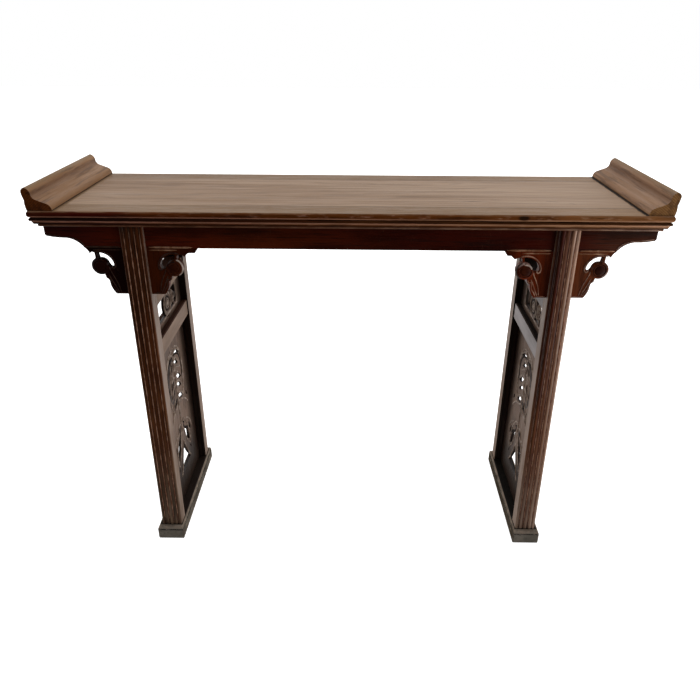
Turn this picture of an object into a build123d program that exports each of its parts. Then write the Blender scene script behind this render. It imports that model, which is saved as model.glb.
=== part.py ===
from build123d import *
import math
import os

# Altar table with everted end flanges: a frame-and-panel top on four reeded legs, each pair
# joined by rails, two pierced panels and a foot block. Millimetres, +Z up, front towards -Y.
# The origin is on the floor under the middle of the table. The ends are mirror images, apart
# from the upper panels, which are two alike: one is the other turned half round.

# Driving dimensions ------------------------------------------------------------------------
TOP_HEIGHT = 870.0          # floor to the flat of the top
TOP_LENGTH = 1310.0         # over the fullest part of the end moulding
TOP_DEPTH = 368.0           # over the fullest part of the front and back moulding
SLAB_THICKNESS = 28.0
FRAME_WIDTH = 60.0          # width of the four mitred frame members
BOARD_THICKNESS = 14.0      # floating boards inside the frame
BOARD_SEAM_Y = -36.0        # joint between the two boards
TONGUE_THICKNESS = 6.0
TONGUE_LENGTH = 6.0
TONGUE_DROP = 6.0           # top of the board to the top of its tongue

FRAME_TENON_THICKNESS = 8.0
FRAME_TENON_RISE = 4.0      # underside of the slab to the underside of the tenon
FRAME_TENON_SHOULDER = 18.0
FRAME_TENON_END_COVER = 12.0

BATTEN_WIDTH = 26.0
BATTEN_HEIGHT = 22.0
BATTEN_SPACING = 220.0
BATTEN_NAMES = ("left_outer_batten", "left_inner_batten", "right_inner_batten", "right_outer_batten")
BATTEN_TENON_LENGTH = 12.0
BATTEN_TENON_WIDTH = 16.0
BATTEN_TENON_HEIGHT = 8.0
DOVETAIL_HEIGHT = 4.0
DOVETAIL_NECK = 12.0
DOVETAIL_HEAD = 16.0

FLANGE_END_SET = 4.0        # its ends in from the front and back moulding
FLANGE_HEIGHT = 47.0
FLANGE_FOOT_WIDTH = 53.5    # from its inner foot to the end moulding
FLANGE_BULGE = 3.0          # head beyond the end moulding
FLANGE_HEAD_WIDTH = 17.0
FLANGE_SWELL_HEIGHT = 22.0  # where the sloping foot meets the upright
FLANGE_TOE_HEIGHT = 15.0    # rounded toe of the foot
FLANGE_TENON_LENGTH = 40.0
FLANGE_TENON_WIDTH = 10.0
FLANGE_TENON_DEPTH = 10.0
FLANGE_TENON_Y = 62.0

STRIP_HEIGHT = 8.0          # bead under the slab, over the apron
STRIP_SET = 16.0            # its face in from the front moulding
STRIP_BEAD = 2.5

APRON_END_SET = 12.0        # its ends in from the end moulding
APRON_SET = 37.0            # its face in from the front moulding
APRON_THICKNESS = 15.0
APRON_HEIGHT = 59.0
APRON_END_HEIGHT = 34.0
APRON_TIP_LENGTH = 45.0     # from the end to where the sweep starts to fall
APRON_SWEEP_LENGTH = 34.0   # from there to the spandrel
APRON_TIP_ROUND = 3.0
END_APRON_HEIGHT = 32.0
END_APRON_ARCH = 6.0

SPANDREL_DROP = 105.0       # below the apron
SPANDREL_TONGUE = 5.0
SPANDREL_TONGUE_OUT = 84.0  # reach of the tongue from the leg's middle, outwards
SPANDREL_TONGUE_IN = 100.0
SPANDREL_FOOT_REACH = 54.0  # lower corner, from the leg's middle
BALL_RADIUS = 19.5
BALL_REACH = 79.0
BALL_DROP = 41.0            # middle of the outer ball, below the apron
INNER_BALL_DROP = 44.0
BALL_FACE = 3.0             # how far its face stands before the board
BALL_BEVEL = 4.0
BALL_STEM_REACH = 9.0       # outer side of the thin stem over the ball, from the ball's middle
CRESCENT_BITE = 4.0         # into the ball
CRESCENT_WIDTH = 14.5
CRESCENT_START = 80.0       # degrees round the ball
CRESCENT_END = 172.0
CUSP_SPREAD = 19.0          # cusp beyond the ball's middle
CUSP_DROP = 13.0
INNER_CUSP_SPREAD = 25.0
INNER_CUSP_DROP = 19.0
INNER_TIP_SPREAD = 48.0     # where the inner wing runs out under the apron

LEG_WIDTH = 50.0
LEG_DEPTH = 34.0
LEG_SET = 198.0             # middle of the leg in from the end moulding, under the slab
LEG_SPLAY = 4.0             # outwards, down to the foot block
LEG_PROUD = 7.0             # show face before the apron, under the slab
LEG_RAKE = 12.0             # forwards, down to the foot block
REED_DEPTH = 2.4
EDGE_BEAD_WIDTH = 8.0
REED_COUNT = 3
LEG_TENON_WIDTH = 36.0
LEG_TENON_FRONT = 4.4
LEG_TENON_BACK = 5.5
LEG_TENON_HEIGHT = 12.0
FOOT_TENON_WIDTH = 30.0
FOOT_TENON_DEPTH = 16.0
FOOT_TENON_LENGTH = 25.0

FOOT_BLOCK_SHIFT = 2.0      # its middle outside the leg's
FOOT_BLOCK_TOE = 15.0       # beyond the leg's show face
FOOT_BLOCK_WIDTH = 67.0
FOOT_BLOCK_HEIGHT = 37.0
FOOT_SHOULDER_HEIGHT = 8.0  # rounded shoulder, above the quirk
FOOT_SHOULDER_SET = 7.0
FOOT_QUIRK = 1.4
FOOT_BLOCK_CORNER = 3.0     # cut off the upright corners
FOOT_BLOCK_WEAR = 4.0       # lower edges
PEG_SIDE = 5.0
PEG_LENGTH = 48.0
PEG_HEIGHT = 20.0

SIDE_SHIFT = 1.0            # rails and pierced panels outside the leg's middle
RAIL_THICKNESS = 42.0
RAIL_EDGE = 2.0
UPPER_PANEL_SET = 5.0       # upper pierced panel further in than the lower one
MID_RAIL_BOTTOM = 509.0
MID_RAIL_HEIGHT = 43.0
UPPER_RAIL_BOTTOM = 636.0
UPPER_RAIL_HEIGHT = 36.0
RAIL_TENON_LENGTH = 20.0
RAIL_TENON_WIDTH = 12.0
RAIL_TENON_SHOULDER = 7.0
PANEL_THICKNESS = 5.5
PANEL_TONGUE = 6.0

WINDOW_LENGTH = 150.0       # pierced field of the upper panel
WINDOW_HEIGHT = 49.0
WINDOW_CORNER = 6.0         # cut off its corners
RING_RADIUS = 31.0
RING_SLIT_INNER = 15.0
RING_SLIT_OUTER = 22.0
RING_SLIT_SPAN = 124.0
CURL_REACH = 57.0
CURL_RADIUS = 10.0
CURL_BAR = 4.5

# Openings of the lower panel, mirrored about its middle: place (y, z), length, width, tilt.
LEAVES = (
    (37.0, 440.0, 44.0, 13.0, -18.0),
    (22.0, 418.0, 36.0, 11.0, -25.0),
    (33.0, 371.0, 44.0, 14.0, -28.0),
    (27.0, 349.0, 42.0, 12.0, -30.0),
    (31.0, 313.0, 48.0, 13.0, -28.0),
    (62.0, 364.0, 38.0, 11.0, -80.0),
    (39.0, 187.0, 76.0, 23.0, -62.0),
    (70.0, 190.0, 34.0, 11.0, -70.0),
)
NICKS = (
    (79.0, 293.0, 27.0, 9.0, -58.0),
    (21.0, 232.0, 20.0, 7.0, -40.0),
    (60.0, 128.0, 19.0, 7.0, -60.0),
)
ARCH_HALF = 48.0            # foot opening
ARCH_Z = 105.0
ARCH_HEIGHT = 76.0
ARCH_SAG = 4.0              # its sill, in the middle
ARCH_WAIST = (0.42, 0.46)   # shares of its half width and of its height

FIT = 0.1                   # clearance on each side of a tenon, tongue or slot
ROOM = 0.3                  # spare depth at the end of a mortise or groove

# Derived places ----------------------------------------------------------------------------
HALF_LENGTH = TOP_LENGTH / 2
HALF_DEPTH = TOP_DEPTH / 2
BATTEN_MIDDLE = (len(BATTEN_NAMES) - 1) / 2
BATTEN_PLACES = [(n - BATTEN_MIDDLE) * BATTEN_SPACING for n in range(len(BATTEN_NAMES))]
FLANGE_LENGTH = TOP_DEPTH - 2 * FLANGE_END_SET
FLANGE_FOOT_X = HALF_LENGTH - FLANGE_FOOT_WIDTH
STRIP_FACE_Y = HALF_DEPTH - STRIP_SET
APRON_END_X = HALF_LENGTH - APRON_END_SET
APRON_SWEEP_X = APRON_END_X - APRON_TIP_LENGTH
APRON_SWEEP_FOOT_X = APRON_SWEEP_X - APRON_SWEEP_LENGTH
APRON_FACE_Y = HALF_DEPTH - APRON_SET
LEG_TOP_X = HALF_LENGTH - LEG_SET
LEG_FOOT_X = LEG_TOP_X + LEG_SPLAY
LEG_TOP_FACE_Y = APRON_FACE_Y + LEG_PROUD
LEG_FOOT_FACE_Y = LEG_TOP_FACE_Y + LEG_RAKE
FOOT_BLOCK_X = LEG_FOOT_X + FOOT_BLOCK_SHIFT
FOOT_BLOCK_LENGTH = 2 * (LEG_FOOT_FACE_Y + FOOT_BLOCK_TOE)
SIDE_X = LEG_TOP_X + SIDE_SHIFT
UPPER_PANEL_X = SIDE_X - UPPER_PANEL_SET
SLAB_UNDERSIDE = TOP_HEIGHT - SLAB_THICKNESS
FRAME_INNER_X = HALF_LENGTH - FRAME_WIDTH
FRAME_INNER_Y = HALF_DEPTH - FRAME_WIDTH
BOARD_UNDERSIDE = TOP_HEIGHT - BOARD_THICKNESS
TONGUE_TOP = TOP_HEIGHT - TONGUE_DROP
TONGUE_BOTTOM = TONGUE_TOP - TONGUE_THICKNESS
APRON_BACK_Y = APRON_FACE_Y - APRON_THICKNESS
APRON_BOTTOM = SLAB_UNDERSIDE - APRON_HEIGHT
SPANDREL_BOTTOM = APRON_BOTTOM - SPANDREL_DROP
MID_RAIL_TOP = MID_RAIL_BOTTOM + MID_RAIL_HEIGHT
UPPER_RAIL_TOP = UPPER_RAIL_BOTTOM + UPPER_RAIL_HEIGHT
RAIL_INNER_X = SIDE_X - RAIL_THICKNESS / 2
BIG = 2000.0


# Helpers -----------------------------------------------------------------------------------
def block(x0, x1, y0, y1, z0, z1):
    """A box between two corners."""
    size = (x1 - x0, y1 - y0, z1 - z0)
    return Pos((x0 + x1) / 2, (y0 + y1) / 2, (z0 + z1) / 2) * Box(*size)


def grown(x0, x1, y0, y1, z0, z1, by=FIT):
    """The same box with clearance on every side, for the hole that takes it."""
    return block(x0 - by, x1 + by, y0 - by, y1 + by, z0 - by, z1 + by)


def board_face(*lines):
    """A closed face from lines and arcs given in order."""
    return make_face(Curve() + list(lines))


def along_x(face, x0, x1):
    """Extrude a (y, z) outline from x0 to x1."""
    return extrude(Plane.YZ.offset(x0) * face, amount=x1 - x0)


def along_y(face, y0, y1):
    """Extrude an (x, z) outline from y0 to y1, where y0 is the greater."""
    return extrude(Plane.XZ.offset(-y0) * face, amount=y0 - y1)


def flip_x(part):
    return mirror(part, about=Plane.YZ)


def flip_y(part):
    return mirror(part, about=Plane.XZ)


def leg_slide(z):
    """0 under the slab, 1 on the foot block."""
    return (SLAB_UNDERSIDE - z) / (SLAB_UNDERSIDE - FOOT_BLOCK_HEIGHT)


def leg_x(z):
    return LEG_TOP_X + (LEG_FOOT_X - LEG_TOP_X) * leg_slide(z)


def leg_face_y(z):
    return LEG_TOP_FACE_Y + (LEG_FOOT_FACE_Y - LEG_TOP_FACE_Y) * leg_slide(z)


def leg_back_y(z):
    return leg_face_y(z) - LEG_DEPTH


# Top ---------------------------------------------------------------------------------------
EDGE_TOP_SET = 3.0          # the flat of the top starts this far in from the fullest line
EDGE_FULL_DROP = 7.0
EDGE_OVOLO_DROP = 13.0
EDGE_QUIRK = 4.5
EDGE_BEAD_DROP = 21.5
EDGE_BEAD_SET = 1.8
EDGE_FOOT_SET = 8.0


def edge_face(reach, inner):
    """Section of a frame member: moulded outer edge at reach, plain inner edge."""
    top, low = TOP_HEIGHT, SLAB_UNDERSIDE
    ovolo_foot = top - EDGE_OVOLO_DROP
    bead_foot = top - EDGE_BEAD_DROP
    bead_middle = (ovolo_foot + bead_foot) / 2
    start = (reach - EDGE_TOP_SET, top)
    ovolo_end = (reach - EDGE_TOP_SET, ovolo_foot)
    quirk_top = (reach - EDGE_QUIRK - 1, ovolo_foot)
    quirk_low = (reach - EDGE_QUIRK - 1, ovolo_foot - 1)
    bead_end = (reach - EDGE_QUIRK - 1, bead_foot)
    foot = (reach - EDGE_FOOT_SET, low)
    return board_face(
        Line((inner, top), start),
        ThreePointArc(start, (reach, top - EDGE_FULL_DROP), ovolo_end),
        Line(ovolo_end, quirk_top),
        Line(quirk_top, quirk_low),
        ThreePointArc(quirk_low, (reach - EDGE_BEAD_SET, bead_middle), bead_end),
        Line(bead_end, foot),
        Line(foot, (inner, low)),
        Line((inner, low), (inner, top)),
    )


def mitre_wedge(keep_long):
    """Waste beyond the front right mitre, for the long member or for the end member."""
    spare = 5.0
    out = (HALF_LENGTH + spare, -HALF_DEPTH - spare)
    into = (FRAME_INNER_X - spare, -FRAME_INNER_Y + spare)
    corner = (HALF_LENGTH + spare, -FRAME_INNER_Y + spare)
    if not keep_long:
        corner = (FRAME_INNER_X - spare, -HALF_DEPTH - spare)
    triangle = make_face(Polyline(out, into, corner, close=True))
    return extrude(Pos(0, 0, SLAB_UNDERSIDE - 1) * triangle, amount=SLAB_THICKNESS + 2)


def frame_tenon_box():
    """Tenon of the front long member in the right end member."""
    return (
        FRAME_INNER_X - FIT,
        HALF_LENGTH - FRAME_TENON_END_COVER,
        -HALF_DEPTH + FRAME_TENON_SHOULDER,
        -FRAME_INNER_Y - FRAME_TENON_SHOULDER / 2,
        SLAB_UNDERSIDE + FRAME_TENON_RISE,
        SLAB_UNDERSIDE + FRAME_TENON_RISE + FRAME_TENON_THICKNESS,
    )


def batten_tenon_box(x):
    return (
        x - BATTEN_TENON_WIDTH / 2,
        x + BATTEN_TENON_WIDTH / 2,
        -FRAME_INNER_Y - BATTEN_TENON_LENGTH,
        FRAME_INNER_Y + BATTEN_TENON_LENGTH,
        SLAB_UNDERSIDE + FRAME_TENON_RISE,
        SLAB_UNDERSIDE + FRAME_TENON_RISE + BATTEN_TENON_HEIGHT,
    )


def leg_tenon_boxes():
    """The two tenons on top of the front right leg, before and behind the apron."""
    x0 = LEG_TOP_X - LEG_TENON_WIDTH / 2
    x1 = LEG_TOP_X + LEG_TENON_WIDTH / 2
    top = SLAB_UNDERSIDE + LEG_TENON_HEIGHT
    front = -APRON_FACE_Y - FIT
    back = -APRON_BACK_Y + FIT
    return (
        (x0, x1, front - LEG_TENON_FRONT, front, SLAB_UNDERSIDE, top),
        (x0, x1, back, back + LEG_TENON_BACK, SLAB_UNDERSIDE, top),
    )


def front_frame_member():
    face = edge_face(HALF_DEPTH, FRAME_INNER_Y)
    member = flip_y(along_x(face, -HALF_LENGTH, HALF_LENGTH))
    wedge = mitre_wedge(keep_long=True)
    member = member - wedge - flip_x(wedge)
    tenon = block(*frame_tenon_box())
    member = member + tenon + flip_x(tenon)
    groove = (
        -BIG, BIG,
        -FRAME_INNER_Y - TONGUE_LENGTH - ROOM, -FRAME_INNER_Y + 1,
        TONGUE_BOTTOM - FIT, TONGUE_TOP + FIT,
    )
    member -= block(*groove)
    for x in BATTEN_PLACES:
        x0, x1, y0, _, z0, z1 = batten_tenon_box(x)
        member -= grown(x0, x1, y0 - ROOM, -FRAME_INNER_Y + 1, z0, z1)
    for box in leg_tenon_boxes():
        x0, x1, y0, y1, z0, z1 = box
        mortise = grown(x0, x1, y0, y1, z0 - 1, z1 + ROOM)
        member = member - mortise - flip_x(mortise)
    return member


def flange_tenon_boxes():
    """Two stub tenons under the right flange."""
    middle = (FLANGE_FOOT_X + HALF_LENGTH) / 2
    half = FLANGE_TENON_WIDTH / 2
    low = TOP_HEIGHT - FLANGE_TENON_DEPTH
    reach = FLANGE_TENON_LENGTH / 2
    places = (-FLANGE_TENON_Y, FLANGE_TENON_Y)
    return [(middle - half, middle + half, y - reach, y + reach, low, TOP_HEIGHT) for y in places]


def right_frame_member():
    face = edge_face(HALF_LENGTH, FRAME_INNER_X)
    member = along_y(face, HALF_DEPTH, -HALF_DEPTH)
    wedge = mitre_wedge(keep_long=False)
    member = member - wedge - flip_y(wedge)
    x0, x1, y0, y1, z0, z1 = frame_tenon_box()
    mortise = grown(x0 - 5, x1 + ROOM, y0, y1, z0, z1)
    member = member - mortise - flip_y(mortise)
    groove = (
        FRAME_INNER_X - 1, FRAME_INNER_X + TONGUE_LENGTH + ROOM,
        -BIG, BIG,
        TONGUE_BOTTOM - FIT, TONGUE_TOP + FIT,
    )
    member -= block(*groove)
    for box in flange_tenon_boxes():
        x0, x1, y0, y1, z0, z1 = box
        member -= grown(x0, x1, y0, y1, z0 - ROOM, z1 + 1)
    return member


def dovetail_face(neck, head, height, root):
    half_neck, half_head = neck / 2, head / 2
    top = BOARD_UNDERSIDE + height
    return make_face(
        Polyline((-half_neck, root), (half_neck, root), (half_neck, BOARD_UNDERSIDE),
                 (half_head, top), (-half_head, top), (-half_neck, BOARD_UNDERSIDE), close=True)
    )


def top_board(y_front, y_back, front_edge, back_edge):
    """One floating board; an edge that meets the frame carries a tongue."""
    half_x = FRAME_INNER_X - FIT
    board = block(-half_x, half_x, y_front, y_back, BOARD_UNDERSIDE, TOP_HEIGHT)
    tongue_x = FRAME_INNER_X + TONGUE_LENGTH
    board += block(-tongue_x, tongue_x, y_front - front_edge, y_back + back_edge, TONGUE_BOTTOM, TONGUE_TOP)
    socket = dovetail_face(DOVETAIL_NECK + 2 * FIT, DOVETAIL_HEAD + 2 * FIT,
                           DOVETAIL_HEIGHT + FIT, BOARD_UNDERSIDE - 1)
    for x in BATTEN_PLACES:
        board -= Pos(x, 0, 0) * along_y(socket, y_back, y_front)
    return board


def batten(x):
    """Transverse batten: dovetail up into the boards, a tenon in each long member."""
    end = FRAME_INNER_Y - FIT
    half = BATTEN_WIDTH / 2
    body = block(-half, half, -end, end, BOARD_UNDERSIDE - BATTEN_HEIGHT, BOARD_UNDERSIDE)
    key = dovetail_face(DOVETAIL_NECK, DOVETAIL_HEAD, DOVETAIL_HEIGHT, BOARD_UNDERSIDE - 2)
    body += along_y(key, end, -end)
    return Pos(x, 0, 0) * body + block(*batten_tenon_box(x))


def right_flange():
    """Everted flange: sloping foot, cove, upright with a rounded head."""
    low, high = TOP_HEIGHT, TOP_HEIGHT + FLANGE_HEIGHT
    outer = HALF_LENGTH + FLANGE_BULGE
    head_in = outer - FLANGE_HEAD_WIDTH
    swell = low + FLANGE_SWELL_HEIGHT
    toe = low + FLANGE_TOE_HEIGHT
    toe_top = (FLANGE_FOOT_X + 9.5, toe)
    swell_end = (head_in - 11, swell)
    neck = (head_in - 2, swell + 12)
    crown = (outer - FLANGE_HEAD_WIDTH / 2, high)
    cheek = (outer, high - 10)
    waist = (outer - 3.5, low + 21)
    heel = (outer - 5, low)
    face = board_face(
        Line(heel, (FLANGE_FOOT_X, low)),
        ThreePointArc((FLANGE_FOOT_X, low), (FLANGE_FOOT_X + 2.5, low + FLANGE_TOE_HEIGHT * 0.62), toe_top),
        Line(toe_top, swell_end),
        ThreePointArc(swell_end, (head_in - 4.5, swell + 4.5), neck),
        ThreePointArc(neck, (head_in + 2, high - 4), crown),
        ThreePointArc(crown, (outer - 2, high - 3.5), cheek),
        ThreePointArc(cheek, (outer - 1.8, (high + low + 8) / 2), waist),
        ThreePointArc(waist, (outer - 3, low + 10), heel),
    )
    flange = along_y(face, FLANGE_LENGTH / 2, -FLANGE_LENGTH / 2)
    for box in flange_tenon_boxes():
        x0, x1, y0, y1, z0, z1 = box
        flange += block(x0, x1, y0, y1, z0, z1 + 2)
    return flange


# Aprons and spandrels ----------------------------------------------------------------------
def front_strip():
    """Bead under the slab, notched round the legs."""
    high, low = SLAB_UNDERSIDE, SLAB_UNDERSIDE - STRIP_HEIGHT
    back, edge = -APRON_FACE_Y - FIT, -STRIP_FACE_Y + STRIP_BEAD
    face = board_face(
        Line((back, high), (edge, high)),
        ThreePointArc((edge, high), (-STRIP_FACE_Y, (high + low) / 2), (edge, low)),
        Line((edge, low), (back, low)),
        Line((back, low), (back, high)),
    )
    strip = along_x(face, -APRON_END_X, APRON_END_X)
    half = LEG_WIDTH / 2 + FIT + abs(leg_x(low) - LEG_TOP_X)
    notch = block(LEG_TOP_X - half, LEG_TOP_X + half, -leg_face_y(low) - FIT, 0, low - 1, SLAB_UNDERSIDE + 1)
    return strip - notch - flip_x(notch)


def spandrel_groove_box():
    """Groove under the apron over the right front spandrel."""
    middle = (APRON_FACE_Y + APRON_BACK_Y) / 2
    half = SPANDREL_TONGUE / 2
    return (
        LEG_TOP_X - SPANDREL_TONGUE_IN,
        LEG_TOP_X + SPANDREL_TONGUE_OUT,
        -middle - half,
        -middle + half,
        APRON_BOTTOM,
        APRON_BOTTOM + SPANDREL_TONGUE,
    )


def end_apron_tongue_box():
    """Tongue of the right end apron in the back of the front apron."""
    middle = APRON_END_X - APRON_THICKNESS / 2
    half = SPANDREL_TONGUE / 2
    return (
        middle - half,
        middle + half,
        -APRON_BACK_Y - SPANDREL_TONGUE,
        -APRON_BACK_Y + 1,
        SLAB_UNDERSIDE - END_APRON_HEIGHT + END_APRON_ARCH,
        SLAB_UNDERSIDE,
    )


def front_apron():
    """Long apron: straight between the spandrels, swept up to thin ends."""
    end = APRON_END_X
    tip = SLAB_UNDERSIDE - APRON_END_HEIGHT
    sweep_top = (APRON_SWEEP_X, tip - 4)
    sweep_foot = (APRON_SWEEP_FOOT_X, APRON_BOTTOM)
    span = APRON_SWEEP_X - APRON_SWEEP_FOOT_X
    sweep_middle = (APRON_SWEEP_FOOT_X + 0.36 * span, APRON_BOTTOM + 0.6 * (tip - 4 - APRON_BOTTOM))
    tip_low = (end - APRON_TIP_ROUND, tip)
    tip_side = (end, tip + APRON_TIP_ROUND)
    half = board_face(
        Line((0, SLAB_UNDERSIDE), (0, APRON_BOTTOM)),
        Line((0, APRON_BOTTOM), sweep_foot),
        ThreePointArc(sweep_foot, sweep_middle, sweep_top),
        ThreePointArc(sweep_top, ((APRON_SWEEP_X + end) / 2, tip - 3), tip_low),
        Line(tip_low, tip_side),
        Line(tip_side, (end, SLAB_UNDERSIDE)),
        Line((end, SLAB_UNDERSIDE), (0, SLAB_UNDERSIDE)),
    )
    right = along_y(half, -APRON_BACK_Y, -APRON_FACE_Y)
    apron = right + flip_x(right)
    x0, x1, y0, y1, z0, z1 = spandrel_groove_box()
    groove = grown(x0, x1, y0, y1, z0 - 1, z1 + ROOM - FIT)
    x0, x1, y0, y1, z0, z1 = end_apron_tongue_box()
    slot = grown(x0, x1, y0 - ROOM + FIT, y1, z0, z1 + 1)
    for cut in (groove, slot):
        apron = apron - cut - flip_x(cut)
    return apron


def right_end_apron():
    """Short apron closing the end, arched below, tongued into both long aprons."""
    end = APRON_BACK_Y - FIT
    low = SLAB_UNDERSIDE - END_APRON_HEIGHT
    face = board_face(
        Line((-end, low), (-end, SLAB_UNDERSIDE)),
        Line((-end, SLAB_UNDERSIDE), (end, SLAB_UNDERSIDE)),
        Line((end, SLAB_UNDERSIDE), (end, low)),
        ThreePointArc((end, low), (0, low + END_APRON_ARCH), (-end, low)),
    )
    apron = along_x(face, APRON_END_X - APRON_THICKNESS, APRON_END_X)
    tongue = block(*end_apron_tongue_box())
    return apron + tongue + flip_y(tongue)


def crescent(ball_z):
    """Curved slit between the ball and the board, square at the stem and blunt at its foot."""
    near = BALL_RADIUS - CRESCENT_BITE
    far = near + CRESCENT_WIDTH
    centre = (near + far) / 2
    middle = (CRESCENT_START + CRESCENT_END) / 2
    foot = CRESCENT_END + math.degrees(CRESCENT_WIDTH / 2 / centre)
    blunt = CRESCENT_WIDTH / 4

    def at(angle, radius):
        turn = math.radians(angle)
        return (BALL_REACH + radius * math.cos(turn), ball_z + radius * math.sin(turn))

    near_start, near_end = at(CRESCENT_START, near), at(CRESCENT_END, near)
    far_start, far_end = at(CRESCENT_START, far), at(CRESCENT_END, far)
    near_foot, far_foot = at(foot, near + blunt), at(foot, far - blunt)
    return board_face(
        ThreePointArc(near_start, at(middle, near), near_end),
        Line(near_end, near_foot),
        Line(near_foot, far_foot),
        Line(far_foot, far_end),
        ThreePointArc(far_end, at(middle, far), far_start),
        Line(far_start, near_start),
    )


def wing_outline(inner, ball_z):
    """One wing of the cloud spandrel, from the leg's middle outwards: hook, stem and cusp."""
    top = APRON_BOTTOM
    foot = (SPANDREL_FOOT_REACH, SPANDREL_BOTTOM)
    shin = (SPANDREL_FOOT_REACH + 10, SPANDREL_BOTTOM + 20)
    knee = (shin[0] + 1, shin[1] + 10)
    step = (BALL_REACH - 8, ball_z - BALL_RADIUS - 8)
    heel = (BALL_REACH - 6, ball_z - BALL_RADIUS + 1)
    neck_foot = (BALL_REACH + BALL_STEM_REACH - 1, ball_z + 6)
    if inner:
        cusp = (BALL_REACH + INNER_CUSP_SPREAD, top - INNER_CUSP_DROP)
        notch = (cusp[0] - 7, cusp[1] + 4)
        tip = (BALL_REACH + INNER_TIP_SPREAD, top)
        brow = ((cusp[0] + tip[0]) / 2 + 2, top - 7)
    else:
        cusp = (BALL_REACH + CUSP_SPREAD, top - CUSP_DROP)
        notch = (cusp[0] - 4, cusp[1] + 4)
        tip = (APRON_SWEEP_FOOT_X - LEG_TOP_X, top)
        brow = ((cusp[0] + tip[0]) / 2 - 0.8, (cusp[1] + tip[1]) / 2 + 0.8)
    neck_top = (BALL_REACH + BALL_STEM_REACH, cusp[1] + 2)
    return board_face(
        Line((0, SPANDREL_BOTTOM), foot),
        ThreePointArc(foot, (foot[0] + 6.5, foot[1] + 10), shin),
        Line(shin, knee),
        ThreePointArc(knee, (knee[0] + 2, step[1] - 2.5), step),
        Line(step, heel),
        Line(heel, neck_foot),
        Line(neck_foot, neck_top),
        ThreePointArc(neck_top, notch, cusp),
        ThreePointArc(cusp, brow, tip),
        Line(tip, (0, top)),
        Line((0, top), (0, SPANDREL_BOTTOM)),
    )


def wing(inner):
    """A wing with its ball, whose bevelled face stands before the board."""
    ball_z = APRON_BOTTOM - (INNER_BALL_DROP if inner else BALL_DROP)
    ball = Pos(BALL_REACH, ball_z) * Circle(BALL_RADIUS)
    board = along_y(wing_outline(inner, ball_z) + ball, -APRON_BACK_Y, -APRON_FACE_Y)
    face_y = -APRON_FACE_Y - BALL_FACE / 2
    boss = Cone(BALL_RADIUS, BALL_RADIUS - BALL_BEVEL, BALL_FACE)
    board += Pos(BALL_REACH, face_y, ball_z) * Rot(90, 0, 0) * boss
    return board - along_y(crescent(ball_z), -APRON_BACK_Y + 1, -APRON_FACE_Y - BALL_FACE - 1)


def right_front_spandrel():
    """Cloud-shaped board through the leg's slot, a wing on each side."""
    spandrel = Pos(LEG_TOP_X, 0, 0) * (wing(inner=False) + flip_x(wing(inner=True)))
    x0, x1, y0, y1, z0, z1 = spandrel_groove_box()
    return spandrel + block(x0, x1, y0, y1, z0 - 1, z1)


# Legs --------------------------------------------------------------------------------------
def leg_section():
    """Reeded show face towards -Y, centred on the origin."""
    half = LEG_WIDTH / 2
    crest = -LEG_DEPTH / 2
    valley = crest + REED_DEPTH
    reed = (LEG_WIDTH - 2 * EDGE_BEAD_WIDTH) / REED_COUNT
    edges = [-half, -half + EDGE_BEAD_WIDTH]
    edges += [-half + EDGE_BEAD_WIDTH + reed * (n + 1) for n in range(REED_COUNT)]
    edges += [half]
    bands = [ThreePointArc((a, valley), ((a + b) / 2, crest), (b, valley)) for a, b in zip(edges, edges[1:])]
    back = LEG_DEPTH / 2
    return board_face(
        *bands,
        Line((half, valley), (half, back)),
        Line((half, back), (-half, back)),
        Line((-half, back), (-half, valley)),
    )


def foot_tenon_box():
    x = LEG_FOOT_X
    y = -(LEG_FOOT_FACE_Y - LEG_DEPTH / 2)
    return (
        x - FOOT_TENON_WIDTH / 2,
        x + FOOT_TENON_WIDTH / 2,
        y - FOOT_TENON_DEPTH / 2,
        y + FOOT_TENON_DEPTH / 2,
        FOOT_BLOCK_HEIGHT - FOOT_TENON_LENGTH,
        FOOT_BLOCK_HEIGHT,
    )


def rail_tenon_box(low, height):
    """Tenons of a rail at both ends, as one bar right through it."""
    reach = leg_back_y(low + height / 2) + RAIL_TENON_LENGTH
    half = RAIL_TENON_WIDTH / 2
    z0, z1 = low + RAIL_TENON_SHOULDER, low + height - RAIL_TENON_SHOULDER
    return (SIDE_X - half, SIDE_X + half, -reach, reach, z0, z1)


def side_prism(low, high, reach, x0, x1):
    """Trapezoid between the leaning legs, reaching past their backs on both sides."""
    y0, y1 = leg_back_y(low) + reach, leg_back_y(high) + reach
    face = make_face(Polyline((-y0, low), (y0, low), (y1, high), (-y1, high), close=True))
    return along_x(face, x0, x1)


def peg_bar(clearance=0.0):
    """Square peg through the foot block and the right front leg's tenon, from the inner side."""
    x0 = FOOT_BLOCK_X - FOOT_BLOCK_WIDTH / 2
    x1 = x0 + PEG_LENGTH + (ROOM if clearance else 0.0)
    y = -(LEG_FOOT_FACE_Y - LEG_DEPTH / 2)
    half = PEG_SIDE / 2 + clearance
    return block(x0, x1, y - half, y + half, PEG_HEIGHT - half, PEG_HEIGHT + half)


def panel_groove(low, high, middle_x):
    """Groove for a panel in the backs of both legs, from one height to another."""
    half = PANEL_THICKNESS / 2 + FIT
    return side_prism(low, high, PANEL_TONGUE + ROOM, middle_x - half, middle_x + half)


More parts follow.
